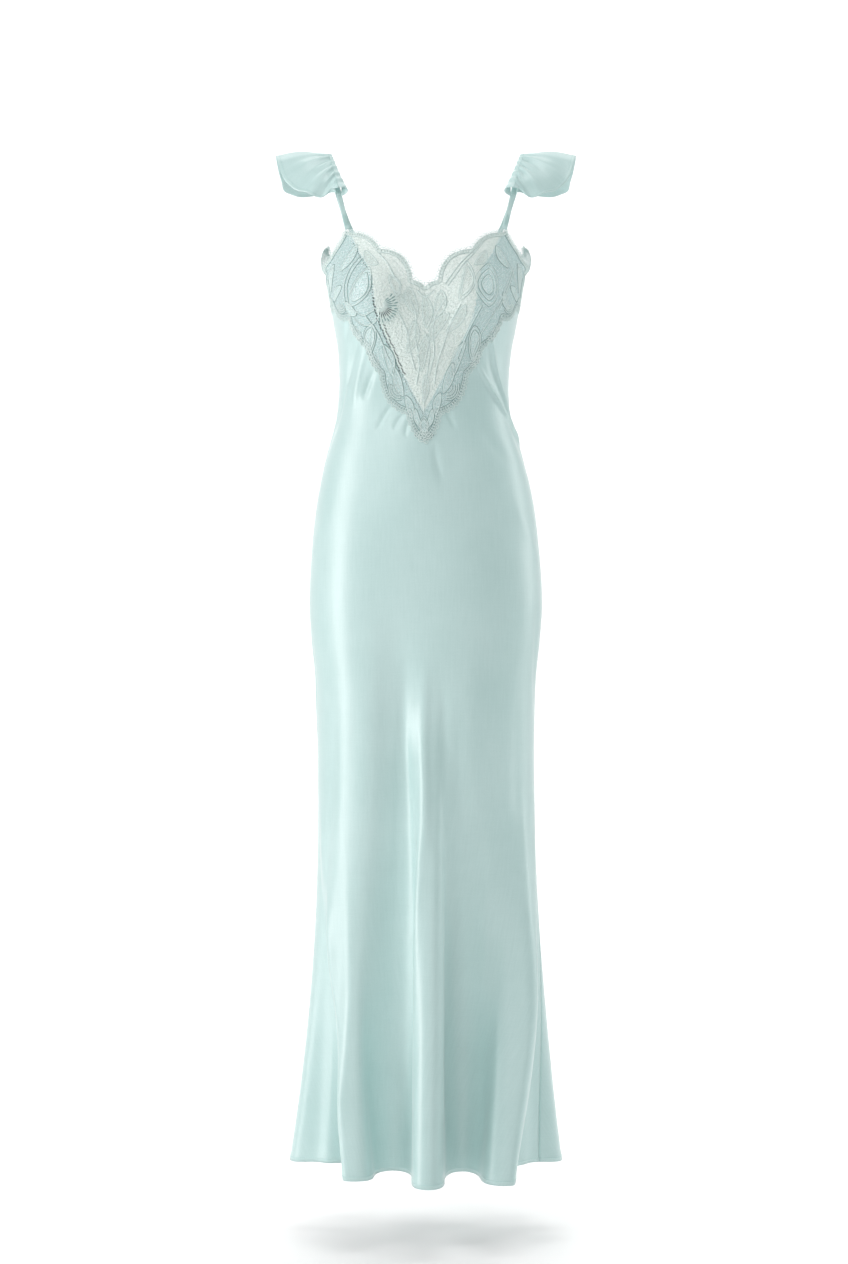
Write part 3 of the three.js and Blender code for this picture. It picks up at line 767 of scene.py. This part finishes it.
def lace_sheet(side, panel, edges, satin_edge, rows, sheer_share):
    last = satin_edge["column"][-1]
    columns = np.linspace(-last, last, LACE_COLUMNS + 1)
    top, bottom = (edge_places(edge, columns) for edge in edges)
    places = rows_between(top, bottom, rows)
    share, z = places[..., 0] / PANEL_HALF_WIDTH, places[..., 1]
    points, _ = on_lace(panel, places)
    faces, uv = grid_faces(rows + 1, LACE_COLUMNS + 1), panel.flat(share, z).reshape(-1, 2)
    piece = mesh_piece(f"lace_{side}_net", points.reshape(-1, 3), faces, uv, LACE_NET, "lace")
    mark_sheer(piece, above_satin(places, satin_edge) * sheer_share)
    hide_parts(f"lace_{side}")
    return piece


FRONT_EDGES, BACK_EDGES = (FRONT_LACE_TOP, FRONT_LACE_BOTTOM), (BACK_LACE_TOP, BACK_LACE_BOTTOM)
lace_front = lace_sheet("front", front, FRONT_EDGES, FRONT_SATIN_TOP, FRONT_LACE_ROWS, 1.0)
lace_back = lace_sheet("back", back, BACK_EDGES, BACK_SATIN_TOP, BACK_LACE_ROWS, BACK_SHEER)

# Lace motifs, by distance from the centre line and height. ribs are the side veins of a leaf, and
# rings the outlines inside each other.
FRONT_LEAVES = table(
    "across0 z0 across1 z1 width bend ribs rings",
    (80, -216, 84, -158, 33, 4, 0, 3),
    (43, -209, 54, -156, 15, -5, 0, 2),
    (20, -196, 12, -232, 13, 3, 5, 1),
    (30, -226, 8, -262, 14, -4, 6, 1),
    (50, -216, 30, -250, 11, 3, 4, 1),
    (66, -242, 74, -286, 17, 3, 6, 2),
    (58, -262, 46, -306, 13, -3, 6, 1),
    (44, -290, 30, -330, 12, 2, 6, 1),
    (26, -330, 18, -360, 10, -2, 5, 1),
    (82, -140, 64, -160, 10, 3, 4, 1),
    (100, -132, 116, -160, 11, -3, 4, 1),
    (140, -152, 150, -190, 13, 3, 5, 2),
    (122, -186, 146, -202, 10, 2, 5, 1),
    (164, -170, 176, -196, 12, -3, 5, 1),
    (106, -196, 122, -216, 11, -3, 5, 1),
    (-100, -214, -72, -164, 26, -6, 0, 2),
    (-44, -176, -34, -204, 11, 3, 0, 2),
    (-20, -192, -10, -226, 13, -3, 5, 1),
    (-14, -236, -26, -276, 14, 4, 6, 1),
    (-70, -240, -84, -276, 17, -3, 6, 2),
    (-60, -266, -50, -306, 13, 3, 6, 1),
    (-46, -296, -32, -334, 12, -2, 6, 1),
    (-28, -334, -18, -364, 10, 2, 5, 1),
    (-84, -140, -62, -160, 11, -3, 4, 1),
    (-98, -130, -120, -164, 12, 3, 4, 1),
    (-138, -154, -152, -188, 13, -3, 5, 2),
    (-118, -186, -144, -202, 10, -2, 5, 1),
    (-162, -172, -178, -196, 12, 3, 5, 1),
    (-92, -226, -110, -208, 12, 3, 6, 1),
    (0, -204, 2, -244, 12, 2, 6, 1),
    (4, -254, -4, -300, 12, -3, 6, 1),
    (2, -306, 0, -342, 9, 2, 5, 1),
    (0, -362, 0, -391, 12, 0, 5, 2),
    (-13, -352, -4, -378, 7, -2, 4, 1),
    (13, -352, 4, -378, 7, 2, 4, 1),
)
BACK_LEAVES = table(
    "across0 z0 across1 z1 width bend ribs rings",
    (0, -172, 0, -204, 11, 0, 5, 2),
    (-22, -170, -12, -194, 9, -2, 4, 1),
    (22, -170, 12, -194, 9, 2, 4, 1),
    (-46, -152, -32, -182, 11, -2, 5, 1),
    (47, -152, 33, -182, 11, 2, 5, 1),
    (-74, -134, -64, -174, 12, -2, 5, 2),
    (74, -134, 64, -174, 12, 2, 5, 2),
    (-104, -128, -108, -168, 12, 2, 5, 2),
    (104, -128, 108, -168, 12, -2, 5, 2),
    (-134, -138, -142, -176, 11, 2, 5, 1),
    (135, -138, 143, -176, 11, -2, 5, 1),
    (-164, -154, -172, -190, 11, 2, 5, 1),
    (164, -154, 172, -190, 11, -2, 5, 1),
)

# Lines of cord: control points (across, z) of each
LACE_STEMS = (
    ((79, -128), (65, -143), (50, -158), (38, -175), (27, -190)),
    ((73, -130), (60, -143), (46, -157), (34, -173), (24, -187)),
    ((108, -144), (117, -154), (128, -168), (137, -184)),
    ((126, -160), (118, -176), (107, -196), (96, -214)),
    ((129, -162), (121, -179), (110, -198), (99, -217)),
    ((24, -208), (14, -226), (10, -250), (14, -276), (8, -306)),
    ((44, -214), (34, -236), (28, -262), (20, -290), (16, -318)),
    ((70, -216), (62, -238), (56, -262), (50, -284)),
    ((96, -216), (86, -232), (78, -254), (72, -280)),
    ((-63, -145), (-50, -158), (-41, -174), (-30, -190)),
    ((-86, -150), (-98, -168), (-106, -190), (-104, -214)),
    ((-90, -146), (-103, -164), (-112, -188), (-112, -210)),
    ((-64, -222), (-80, -228), (-92, -222)),
    ((-56, -226), (-68, -238), (-84, -240), (-98, -230)),
    ((-20, -204), (-12, -228), (-14, -256), (-8, -290), (-12, -318)),
    ((-36, -222), (-26, -246), (-22, -272), (-14, -300)),
    ((-78, -228), (-66, -250), (-58, -276), (-50, -292)),
    ((0, -250), (7, -272), (5, -300), (1, -330), (0, -356)),
    ((-10, -196), (0, -204), (12, -196)),
)
BACK_STEM = np.array([
    (-170, -180), (-150, -166), (-128, -150), (-106, -160), (-84, -152), (-58, -172), (-30, -182),
    (0, -192),
])

# Shells worked into the lobes of the lower edge: centre, bearing in degrees (0 to the right, -90
# down), radius, spread to each side, and number of ribs.
SHELLS = table(
    "across z bearing radius spread ribs",
    (0, -378, -90, 15, 60, 7),
    (38, -322, -42, 17, 62, 8),
    (71, -280, -32, 14, 64, 7),
    (92, -243, -34, 15, 60, 7),
    (122, -206, -72, 15, 60, 8),
    (164, -192, -84, 15, 66, 7),
    (-38, -322, 222, 17, 60, 8),
    (-70, -281, 212, 14, 62, 7),
    (-92, -243, 214, 15, 58, 8),
    (-122, -206, 252, 15, 60, 7),
    (-164, -192, 264, 15, 64, 8),
)

# Cords inside a border, by inset and width, and picots outside it, by pitch, rise and width
BORDER_CORDS = ((0.8, 0.9), (4.6, 0.8))
PICOTS = ((4.2, 2.0, 0.8), (8.4, 4.0, 1.1))


def heading(degrees):
    """Direction on the cloth at a bearing, or one at each of several bearings."""
    turn = np.radians(degrees)
    return np.stack([np.cos(turn), np.sin(turn)], -1)


class Lacework:
    """Corded pattern on the net of one panel. Both panels' cords go into the same batches."""

    cords, fills, slits, gaps = Batch(), Batch(), Batch(), Batch()

    def __init__(self, panel):
        self.panel = panel

    def cord(self, places, wide=1.0, tall=1.2, closed=False, step=1.3, gap=0.0):
        """A raised cord. gap is how far beside it a line of painted shade lies, for the shade seen
        through the open net there.
        """
        line = resample(np.concatenate([places, places[:1]]) if closed else places, step)
        line = line[:-1] if closed else line
        centre, normal = on_lace(self.panel, line, 0.25)
        sweep(self.cords, centre, normal, wide, tall, 4, closed)
        if gap:
            beside = line + gap * left_of(directions(line, closed))
            centre, normal = on_lace(self.panel, beside, 0.1)
            open_net = above_satin(line, FRONT_SATIN_TOP)
            sweep(self.gaps, centre, normal, 1.3 - 1.05 * open_net, 0.3, 4, closed)

    def stem(self, controls):
        """A cord on a smooth curve through its control points."""
        points = np.array(controls, float)
        row = {"k": np.arange(len(points), dtype=float), "a": points[:, 0], "z": points[:, 1]}
        at = np.linspace(0, len(points) - 1, 12 * len(points))
        self.cord(np.stack([along(row, "k", column, at) for column in "az"], 1), 1.2, gap=1.1)

    def leaf(self, across0, z0, across1, z1, width, bend, ribs, rings):
        """Leaf or petal from its root to its tip."""
        start, run = np.array([across0, z0]), np.array([across1 - across0, z1 - z0])
        way = left_of(run) / np.hypot(*run)
        t = np.linspace(0, 1, 22)
        spine = start + run * t[:, None] + way * (bend * np.sin(np.pi * t))[:, None]
        half = width / 2 * np.sin(np.pi * t) ** 0.7 * (1.12 - 0.25 * t)
        for ring in range(int(rings)):
            part = 1 - 0.27 * ring
            middle = spine * part + spine[10] * (1 - part)
            left, right = (middle + way * (half * part * side)[:, None] for side in (1, -1))
            outline = np.concatenate([left, right[-2:0:-1]])
            self.cord(outline, 1.3 - 0.15 * ring, closed=True, gap=1.05)
        side = np.linspace(-0.86, 0.86, 7)
        places = spine[1:-1, None] + way * (half[1:-1, None] * side)[..., None]
        points, _ = on_lace(self.panel, places, 0.12)
        self.fills.add(points, grid_faces(*places.shape[:2]), places)
        if ribs:
            self.cord(spine[1:-2], 0.6)
        for k in range(int(ribs)):
            at = 3 + int(14 * k / ribs)
            for side in (1, -1):
                tip = spine[at + 3] + way * half[at + 3] * 0.85 * side
                self.cord(np.array([spine[at], (spine[at] + tip) / 2 + run * 0.015, tip]), 0.5)

    def shell(self, across, z, bearing, radius, spread, ribs):
        """Nested arcs with ribs between them."""
        centre = np.array([across, z])
        for part in (0.34, 0.62, 0.82, 1.0):
            arc = heading(np.linspace(bearing - spread, bearing + spread, 16))
            self.cord(centre + radius * part * arc, 1.1, gap=-1.0)
        for k in range(int(ribs)):
            way = heading(bearing + spread * 0.9 * (2 * k / (ribs - 1) - 1))
            for reach in ((0.36, 0.5, 0.62), (0.66, 0.8, 0.96)):
                self.cord(centre + radius * np.array(reach)[:, None] * way, 0.55)

    def slit(self, root, bearing, length, width, batch):
        """A long eyelet's painted shadow: a thin sheet on the lace, in the dark finish of its batch."""
        way = heading(bearing)
        across = left_of(way)
        t = np.linspace(0, 1, 9)
        half = width / 2 * np.sin(np.pi * t) ** 0.8 + 0.08
        spine = root + way * (length * t)[:, None]
        places = spine[:, None] + across * (half[:, None] * np.linspace(-1, 1, 3))[..., None]
        points, _ = on_lace(self.panel, places, 0.1)
        batch.add(points, grid_faces(9, 3), places)

    def border(self, edge, inward):
        """Corded lines inside an edge, short bars across them, and picots outside it."""
        for inset, wide in BORDER_CORDS:
            line = edge_line(edge, 1.4, inset * inward)
            self.cord(line, wide, step=1.4, gap=-1.1 * inward if inset > 4 else 0)
        for pitch, rise, wide in PICOTS:
            line = edge_line(edge, pitch / 6, -0.1 * inward)
            for i in range(0, len(line) - 6, 6):
                part = line[i:i + 7]
                run = part[-1] - part[0]
                out = left_of(run) / max(np.hypot(*run), 1e-9) * inward
                bow = rise * np.sin(np.pi * np.linspace(0, 1, 7))[:, None] ** 0.7
                self.cord(part + out * bow, wide, 0.7, step=0.9)
                if pitch < 5:
                    self.cord(part[3] - out * np.array([[0.2], [2.4], [4.6]]), 1.0, gap=1.2)


work = Lacework(front)
for leaf in zip(*FRONT_LEAVES.values()):
    work.leaf(*leaf)
for controls in LACE_STEMS:
    work.stem(controls)
for shell in zip(*SHELLS.values()):
    work.shell(*shell)
work.border(FRONT_LACE_TOP, 1)
work.border(FRONT_LACE_BOTTOM, -1)

# The fan beside the left edge of the V, with slits of painted shade, its scroll, and slits of painted
# shadow down that edge
FAN_ROOT, FAN_SLITS, FAN_BEARING, FAN_STEP = np.array([-56, -216]), 14, 42, -11
SCROLL, SCROLL_SIZE = np.array([-27, -206]), np.array([9, 6.5])
for k in range(FAN_SLITS):
    bearing = FAN_BEARING + FAN_STEP * k
    way, rib = heading(bearing), heading(bearing - 5.5)
    inner = work.slits if k > 5 else work.gaps
    work.slit(FAN_ROOT + 8 * way, bearing, 7 + 3 * math.sin(1.9 * k) ** 2, 1.1, inner)
    work.slit(FAN_ROOT + (16 + math.sin(2.7 * k)) * way, bearing + 6, 6, 1.3, work.gaps)
    work.cord(FAN_ROOT + np.array([4, 11, 18, 25])[:, None] * rib, 1.0)
for scale in (1.0, 0.62, 0.3):
    turn = np.linspace(0, 360, 26)[:-1]
    work.cord(SCROLL + SCROLL_SIZE * scale * heading(turn), 0.85, closed=True)
# Slits of painted shadow down the satin's edge of the V.
for k, place in enumerate(edge_line(FRONT_SATIN_TOP, 3.7, 1.8, (-15.5, 0))):
    bold = 2.7 if -300 < place[1] < -205 else 1.1
    work.slit(place, -62 + 24 * math.sin(2.3 * k), 1.6 + bold * 0.7, bold * 0.75, work.slits)
    if -302 < place[1] < -238:
        work.slit(place + (5, -1), -48 + 20 * math.sin(1.7 * k), 4.6, 1.5, work.slits)

front_sheer = above_satin(np.concatenate(work.fills.uv), FRONT_SATIN_TOP)
work = Lacework(back)
for leaf in zip(*BACK_LEAVES.values()):
    work.leaf(*leaf)
work.stem(BACK_STEM)
work.stem(BACK_STEM * (-1, 1))
work.border(BACK_LACE_TOP, 1)
work.border(BACK_LACE_BOTTOM, -1)

FILL = lace_finish("lace_cloth_work", -0.3, 1.7)
work.cords.piece("lace_cords", CORD, "lace")
lace_fills = work.fills.piece("lace_fills", FILL, "lace")
back_sheer = np.zeros(work.fills.count - len(front_sheer), np.float32)
mark_sheer(lace_fills, np.concatenate([front_sheer, back_sheer]))
work.slits.piece("lace_painted_shadow_slits", SHADE, "lace")
work.gaps.piece("lace_painted_shade_lines", GAP_SHADE, "lace")


# Straps. Each is a narrow flat tube of self satin from the top of the cup over the shoulder to the
# back edge, bar-tacked at both ends, with a small loop that keeps the folds of the ruffle together.
STRAP_WIDTH, STRAP_THICKNESS = 7, 2.2
STRAP_ROUTE = np.array([
    (105.5, -57, -106.5),
    (113, -57, -76),
    (120, -52, -48),
    (127, -38, -21),
    (132.5, -16, -3.5),
    (134, 0, 0),
    (132.5, 16, -3.5),
    (128, 36, -19),
    (120, 55, -49),
    (106, 70, -85),
    (86, 79, -118.6),
])
KEEPER = {"at": 0.165, "slack": 0.3, "wall": 1.2, "rod_width": 1.9}


def centripetal(route, count):
    """Points of the smooth curve through a route."""
    ends = np.stack([2 * route[0] - route[1], 2 * route[-1] - route[-2]])
    full = np.concatenate([ends[:1], route, ends[1:]])
    points = []
    for p0, p1, p2, p3 in zip(full, full[1:], full[2:], full[3:]):
        d0, d1, d2 = (max(np.linalg.norm(b - a) ** 0.5, 1e-4) for a, b in ((p0, p1), (p1, p2), (p2, p3)))
        t = np.linspace(0, 1, count, endpoint=False)[:, None]
        m1 = (p2 - p1) + d1 * ((p1 - p0) / d0 - (p2 - p0) / (d0 + d1))
        m2 = (p2 - p1) + d1 * ((p3 - p2) / d2 - (p3 - p1) / (d1 + d2))
        points.append((2 * t**3 - 3 * t**2 + 1) * p1 + (t**3 - 2 * t**2 + t) * m1
                      + (3 * t**2 - 2 * t**3) * p2 + (t**3 - t**2) * m2)
    return np.concatenate(points + [route[-1:]])


STRAP_STEP = 0.5
STRAP_LINE = resample(centripetal(STRAP_ROUTE, 40), STRAP_STEP)


def strap_frame(share):
    """Place on the strap and its directions: tangent, across its width, and out from the body."""
    place = np.clip(np.asarray(share, float), 0, 1) * (len(STRAP_LINE) - 1)
    slope = np.gradient(STRAP_LINE, axis=0)
    k = np.arange(len(STRAP_LINE))
    at, tangent = (np.stack([np.interp(place, k, c) for c in v.T], -1) for v in (STRAP_LINE, slope))
    tangent = unit(tangent)
    width = unit(np.array([1.0, 0, 0]) - tangent * tangent[..., :1])
    return at, tangent, width, np.cross(width, tangent)


def both_sides(points, side):
    return points * np.array([side, 1, 1])


def add_sided(batch, points, faces, uv, side):
    batch.add(both_sides(points, side), faces if side > 0 else faces[:, ::-1], uv)


def strap(side, name):
    """Flat satin tube with soft rounded edges and a seam line along its inner face."""
    share = np.linspace(0, 1, 150)
    at, _, width, out = strap_frame(share)
    turn = 2 * math.pi * (np.arange(20) + 0.5) / 20
    a = squared(np.cos(turn), STRAP_WIDTH / 2, 0.75)
    b = squared(np.sin(turn), STRAP_THICKNESS / 2, 0.85) * (1 - 0.35 * np.exp(-(a**2)))
    slack = 1 + 0.05 * np.sin(share * 41)[:, None]
    ring = at[:, None] + width[:, None] * (a * slack)[..., None] + out[:, None] * b[:, None]
    faces = np.roll(tube_faces(*ring.shape[:2])[:, ::-1], 1, 1)
    length = share * len(STRAP_LINE) * STRAP_STEP
    uv = np.stack(np.broadcast_arrays(np.arange(len(turn)) * 0.9, length[:, None]), -1)
    batch = Batch()
    add_sided(batch, ring, faces, uv, side)
    piece = batch.piece(f"strap_{name}_band", SATIN, "satin")
    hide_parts(f"strap_{name}")


def keeper(side, name):
    """Loop of narrow satin tube round the strap, under the front of the ruffle."""
    batch = Batch()
    at, tangent, width, out = strap_frame(KEEPER["at"])
    turn = 2 * math.pi * np.arange(28) / 28
    half_w, half_t = (
        size / 2 + KEEPER["slack"] + KEEPER["wall"] / 2 for size in (STRAP_WIDTH, STRAP_THICKNESS))
    a, b = squared(np.cos(turn), half_w, 0.6), squared(np.sin(turn), half_t, 0.6)
    ring = at + width * a[:, None] + out * b[:, None]
    normal = both_sides(unit(ring - at), side)
    for lift in (-1.45, 0, 1.45):
        rod = both_sides(ring + tangent * lift, side)
        sweep(batch, rod, normal, KEEPER["rod_width"], KEEPER["wall"], 6, True)
    piece = batch.piece(f"keeper_{name}_loop", SATIN, "satin")
    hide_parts(f"keeper_{name}")


def bar_tacks(batch, side):
    """Close zigzag stitches that hold the strap's ends to the cup and to the back edge."""
    for share in (0.02, 0.045, 0.965, 0.985):
        for k in range(6):
            at, _, width, out = strap_frame(share + 0.004 * k)
            top = at + out * (STRAP_THICKNESS / 2 + 0.05)
            line = np.stack([top + width * w for w in (-2.6, -0.9, 0.9, 2.6)])
            sweep(batch, both_sides(line, side), both_sides(np.tile(out, (4, 1)), side), 0.5, 0.4)


tacks = Batch()
SIDES = ((1, "right"), (-1, "left"))
for side, name in SIDES:
    strap(side, name)
    keeper(side, name)
    bar_tacks(tacks, side)
tacks.piece("strap_bar_tacks", THREAD, "satin")


# Ruffles. Each is a curved strip of the same satin, gathered along the strap over a narrow header,
# that flutters out over the shoulder to a narrow topstitched hem.
RUFFLE_SPAN = (0.172, 0.69)
RUFFLE_THICKNESS = 0.7
RUFFLE_HEADER = {"width": 4.8, "fall": 1.2, "roll_width": 12, "roll_fall": 7.2, "roll_slant": 0.5}
RUFFLE_WAVES = {"gathers": 13, "gather_depth": 2.2, "flutes": 4.5, "flute_depth": 4, "crown": 8.4}
PLEAT_DEPTH, FINE_DEPTH, PULL_DEPTH = 1.5, 0.5, 5.4
RUFFLE_STITCHES = ((0.93, STITCH_PITCH), (0, 2.4))
RUFFLE_HEM = table(
    "along x y z",
    (0, 127, -60, -51),
    (0.05, 131, -62, -58),
    (0.1, 137, -64, -63),
    (0.16, 145, -64, -64),
    (0.22, 154, -62, -62),
    (0.28, 164, -58, -57),
    (0.33, 175, -53, -52),
    (0.38, 187, -46, -42),
    (0.42, 193, -40, -35),
    (0.46, 198, -30, -23),
    (0.49, 202, -19, -10),
    (0.52, 205.5, -2, 1),
    (0.56, 205, 14, -4),
    (0.6, 203, 26, -15),
    (0.65, 200, 38, -26),
    (0.7, 197, 50, -38),
    (0.76, 187, 56, -41),
    (0.84, 170, 62, -42),
    (0.92, 150, 62, -41),
    (1, 132, 55, -37),
)
RUFFLE_FLAT = (190, 70)
RUFFLE_COLUMNS, RUFFLE_ROWS, HEADER_ROWS = 300, 44, 18


def ruffle_point(v, w):
    """Middle of the cloth: v runs along the seam, w from -1 at the header over 0 to 1 at the hem."""
    v, w = np.broadcast_arrays(np.asarray(v, float), np.asarray(w, float))
    at, tangent, width, out = strap_frame(RUFFLE_SPAN[0] + (RUFFLE_SPAN[1] - RUFFLE_SPAN[0]) * v)
    depth, folds = RUFFLE_WAVES["gather_depth"], 2 * math.pi * RUFFLE_WAVES["gathers"]
    gather = depth * (1 + np.sin(folds * v)) / 2 * (1 - np.maximum(w, 0)) ** 2
    ends = np.sin(np.pi * np.clip(v, 0, 1))
    rolled = np.where(v < 0.5, 1 - ends, 0) ** 1.6
    wide, fall = (
        RUFFLE_HEADER[key] * (1 - rolled) + RUFFLE_HEADER["roll_" + key] * rolled
        for key in ("width", "fall"))
    lift = STRAP_THICKNESS / 2 + 0.4 + gather + fall * (1 + rolled) + 1.6 * rolled
    seam = at + out * lift[..., None]
    turn = -np.minimum(w, 0) * np.pi * (0.5 + 0.45 * rolled)
    sunk = fall * (1 - np.cos(turn))
    slant = out + tangent * (RUFFLE_HEADER["roll_slant"] * rolled)[..., None]
    header = seam - width * (wide * np.sin(turn))[..., None] - slant * sunk[..., None]
    chord = np.stack([along(RUFFLE_HEM, "along", key, v) for key in "xyz"], -1) - seam
    crown_way = unit(np.cross(chord, tangent))
    down = np.clip(w, 0, 1.05)
    crown = RUFFLE_WAVES["crown"] * ends * np.sin(np.pi * down) * (1 - 0.3 * down)
    flute = RUFFLE_WAVES["flute_depth"] * ends * down**1.3
    flute = flute * np.sin(2 * math.pi * RUFFLE_WAVES["flutes"] * v + 0.6)
    pleats = PLEAT_DEPTH * ends**0.5 * np.sin(folds * v + 0.7 * np.sin(9 * v))
    pleats = pleats * np.exp(-3.2 * down) * down**0.25
    fine = FINE_DEPTH * ends * np.sin(2.3 * folds * v + 1.3) * np.exp(-5 * down)
    pulls = PULL_DEPTH * ends * np.sin(0.4 * folds * v + 0.6 + 0.9 * down)
    pulls = pulls * np.exp(-1.3 * down) * down**0.6
    rise = crown + flute + pleats + fine + pulls
    flounce = seam + chord * down[..., None] + crown_way * rise[..., None]
    return np.where((w < 0)[..., None], header, flounce)


def ruffle(side, name, sewing):
    v = np.linspace(0, 1, RUFFLE_COLUMNS + 1)
    w = np.concatenate([np.linspace(-1, 0, HEADER_ROWS + 1)[:-1], np.linspace(0, 1, RUFFLE_ROWS + 1)])
    v, w = np.meshgrid(v, w)
    middle = ruffle_point(v, w)
    reach = 0.004
    down = ruffle_point(v, w + reach) - ruffle_point(v, w - reach)
    across = ruffle_point(np.minimum(v + reach, 1), w) - ruffle_point(np.maximum(v - reach, 0), w)
    normal = unit(np.cross(down, across))
    half = RUFFLE_THICKNESS / 2 + 0.35 * smoothstep(w, 0.93, 0.95)
    outer, inner = middle + normal * half[..., None], middle - normal * half[..., None]
    batch = Batch()
    add_sided(batch, *thin_shell(outer, inner, np.stack([v, w], -1) * RUFFLE_FLAT), side)
    piece = batch.piece(f"ruffle_{name}_cloth", SATIN, "satin")
    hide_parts(f"ruffle_{name}")
    for depth, pitch in RUFFLE_STITCHES:
        row = np.argmin(np.abs(w[:, 0] - depth))
        line = both_sides(outer[row] + normal[row] * 0.1, side)
        stitches(sewing, line, both_sides(normal[row], side), pitch)


ruffle_sewing = Batch()
for side, name in SIDES:
    ruffle(side, name, ruffle_sewing)
ruffle_sewing.piece("ruffle_stitching", THREAD, "satin")


# Floor, light and camera. A pale studio with large soft lights, seen level from 3.5 metres.
FLOOR_Z = -1.471


def studio():
    half, rise, back_y, bend = 14.0, 9.0, 5.4, 1.0
    profile = [(-half, 0.0), (back_y - bend, 0.0)]
    for k in range(1, 13):
        turn = math.pi / 2 * k / 12
        profile.append((back_y - bend + bend * math.sin(turn), bend * (1 - math.cos(turn))))
    profile.append((back_y, rise))
    points = [(x, y, FLOOR_Z + z) for y, z in profile for x in (-half, half)]
    faces = [(2 * i, 2 * i + 1, 2 * i + 3, 2 * i + 2) for i in range(len(profile) - 1)]
    mesh = bpy.data.meshes.new("studio_floor")
    mesh.from_pydata(points, [], faces)
    mesh.shade_smooth()
    floor = link("studio_floor", mesh)
    paint = Finish("studio_paint")
    place = paint.node("ShaderNodeTexCoord", None, None, "Object")
    mottle = paint.noise(place, 3, 2)
    floor.data.materials.append(paint.surface({
        "Base Color": paint.colour(mottle, (0.93, 0.93, 0.93), (0.95, 0.95, 0.95)),
        "Roughness": 0.9,
        "Emission Color": paint.colour(mottle, (1, 1, 1), (0.98, 0.98, 0.98)),
        "Emission Strength": 0.16,
    }))


def soft_light(name, place, aim, size, power, colour=(1, 1, 1)):
    light = bpy.data.lights.new(name, "AREA")
    light.shape, light.size, light.size_y = "RECTANGLE", size[0], size[1]
    light.energy, light.color = power, colour
    lamp = link(name, light)
    way = np.array(aim, float) - np.array(place, float)
    lamp.location = place
    yaw = math.atan2(way[0], -way[1])
    tilt = math.atan2(math.hypot(way[0], way[1]), -way[2])
    lamp.rotation_euler = (tilt, 0, yaw + math.pi)


studio()
soft_light("key_light", (-3.5, -1.1, -0.2), (0, 0, -0.65), (1.4, 3.0), 71, (1.0, 0.95, 0.955))
soft_light("upper_light", (-2.2, -3.4, 2.0), (0, 0, -0.45), (1.4, 0.9), 30, (1.0, 0.96, 0.965))
soft_light("front_light", (0.6, -4.6, 0.0), (0, 0, -0.8), (3.2, 2.4), 19)
soft_light("top_light", (0.2, -0.75, 1.7), (0, 0, -0.02), (1.6, 0.5), 14)
soft_light("rim_light", (3.0, 0.6, 0.2), (0, 0, -0.7), (1.2, 2.4), 26)
soft_light("back_light", (-0.6, 3.6, 1.2), (0, 0, -0.6), (2.0, 2.0), 22)
soft_light("backdrop_light", (0, 2.2, 4.2), (0, 5.0, 1.0), (5.0, 1.5), 160)
world = bpy.data.worlds.new("studio_air")
world.use_nodes = True
air = world.node_tree.nodes["Background"].inputs
air["Color"].default_value = (1, 1, 1, 1)
air["Strength"].default_value = 0.28
bpy.context.scene.world = world
bpy.context.scene.view_settings.view_transform = "Standard"

CAMERA_DISTANCE, CAMERA_X, CAMERA_Z, LENS = 3.5, -0.0027, -0.649, 72.8
camera = link("camera", bpy.data.cameras.new("camera"))
camera.data.sensor_width, camera.data.lens = 36, LENS
camera.location = (CAMERA_X, -CAMERA_DISTANCE, CAMERA_Z)
camera.rotation_euler = (math.pi / 2, 0, 0)
bpy.context.scene.camera = camera
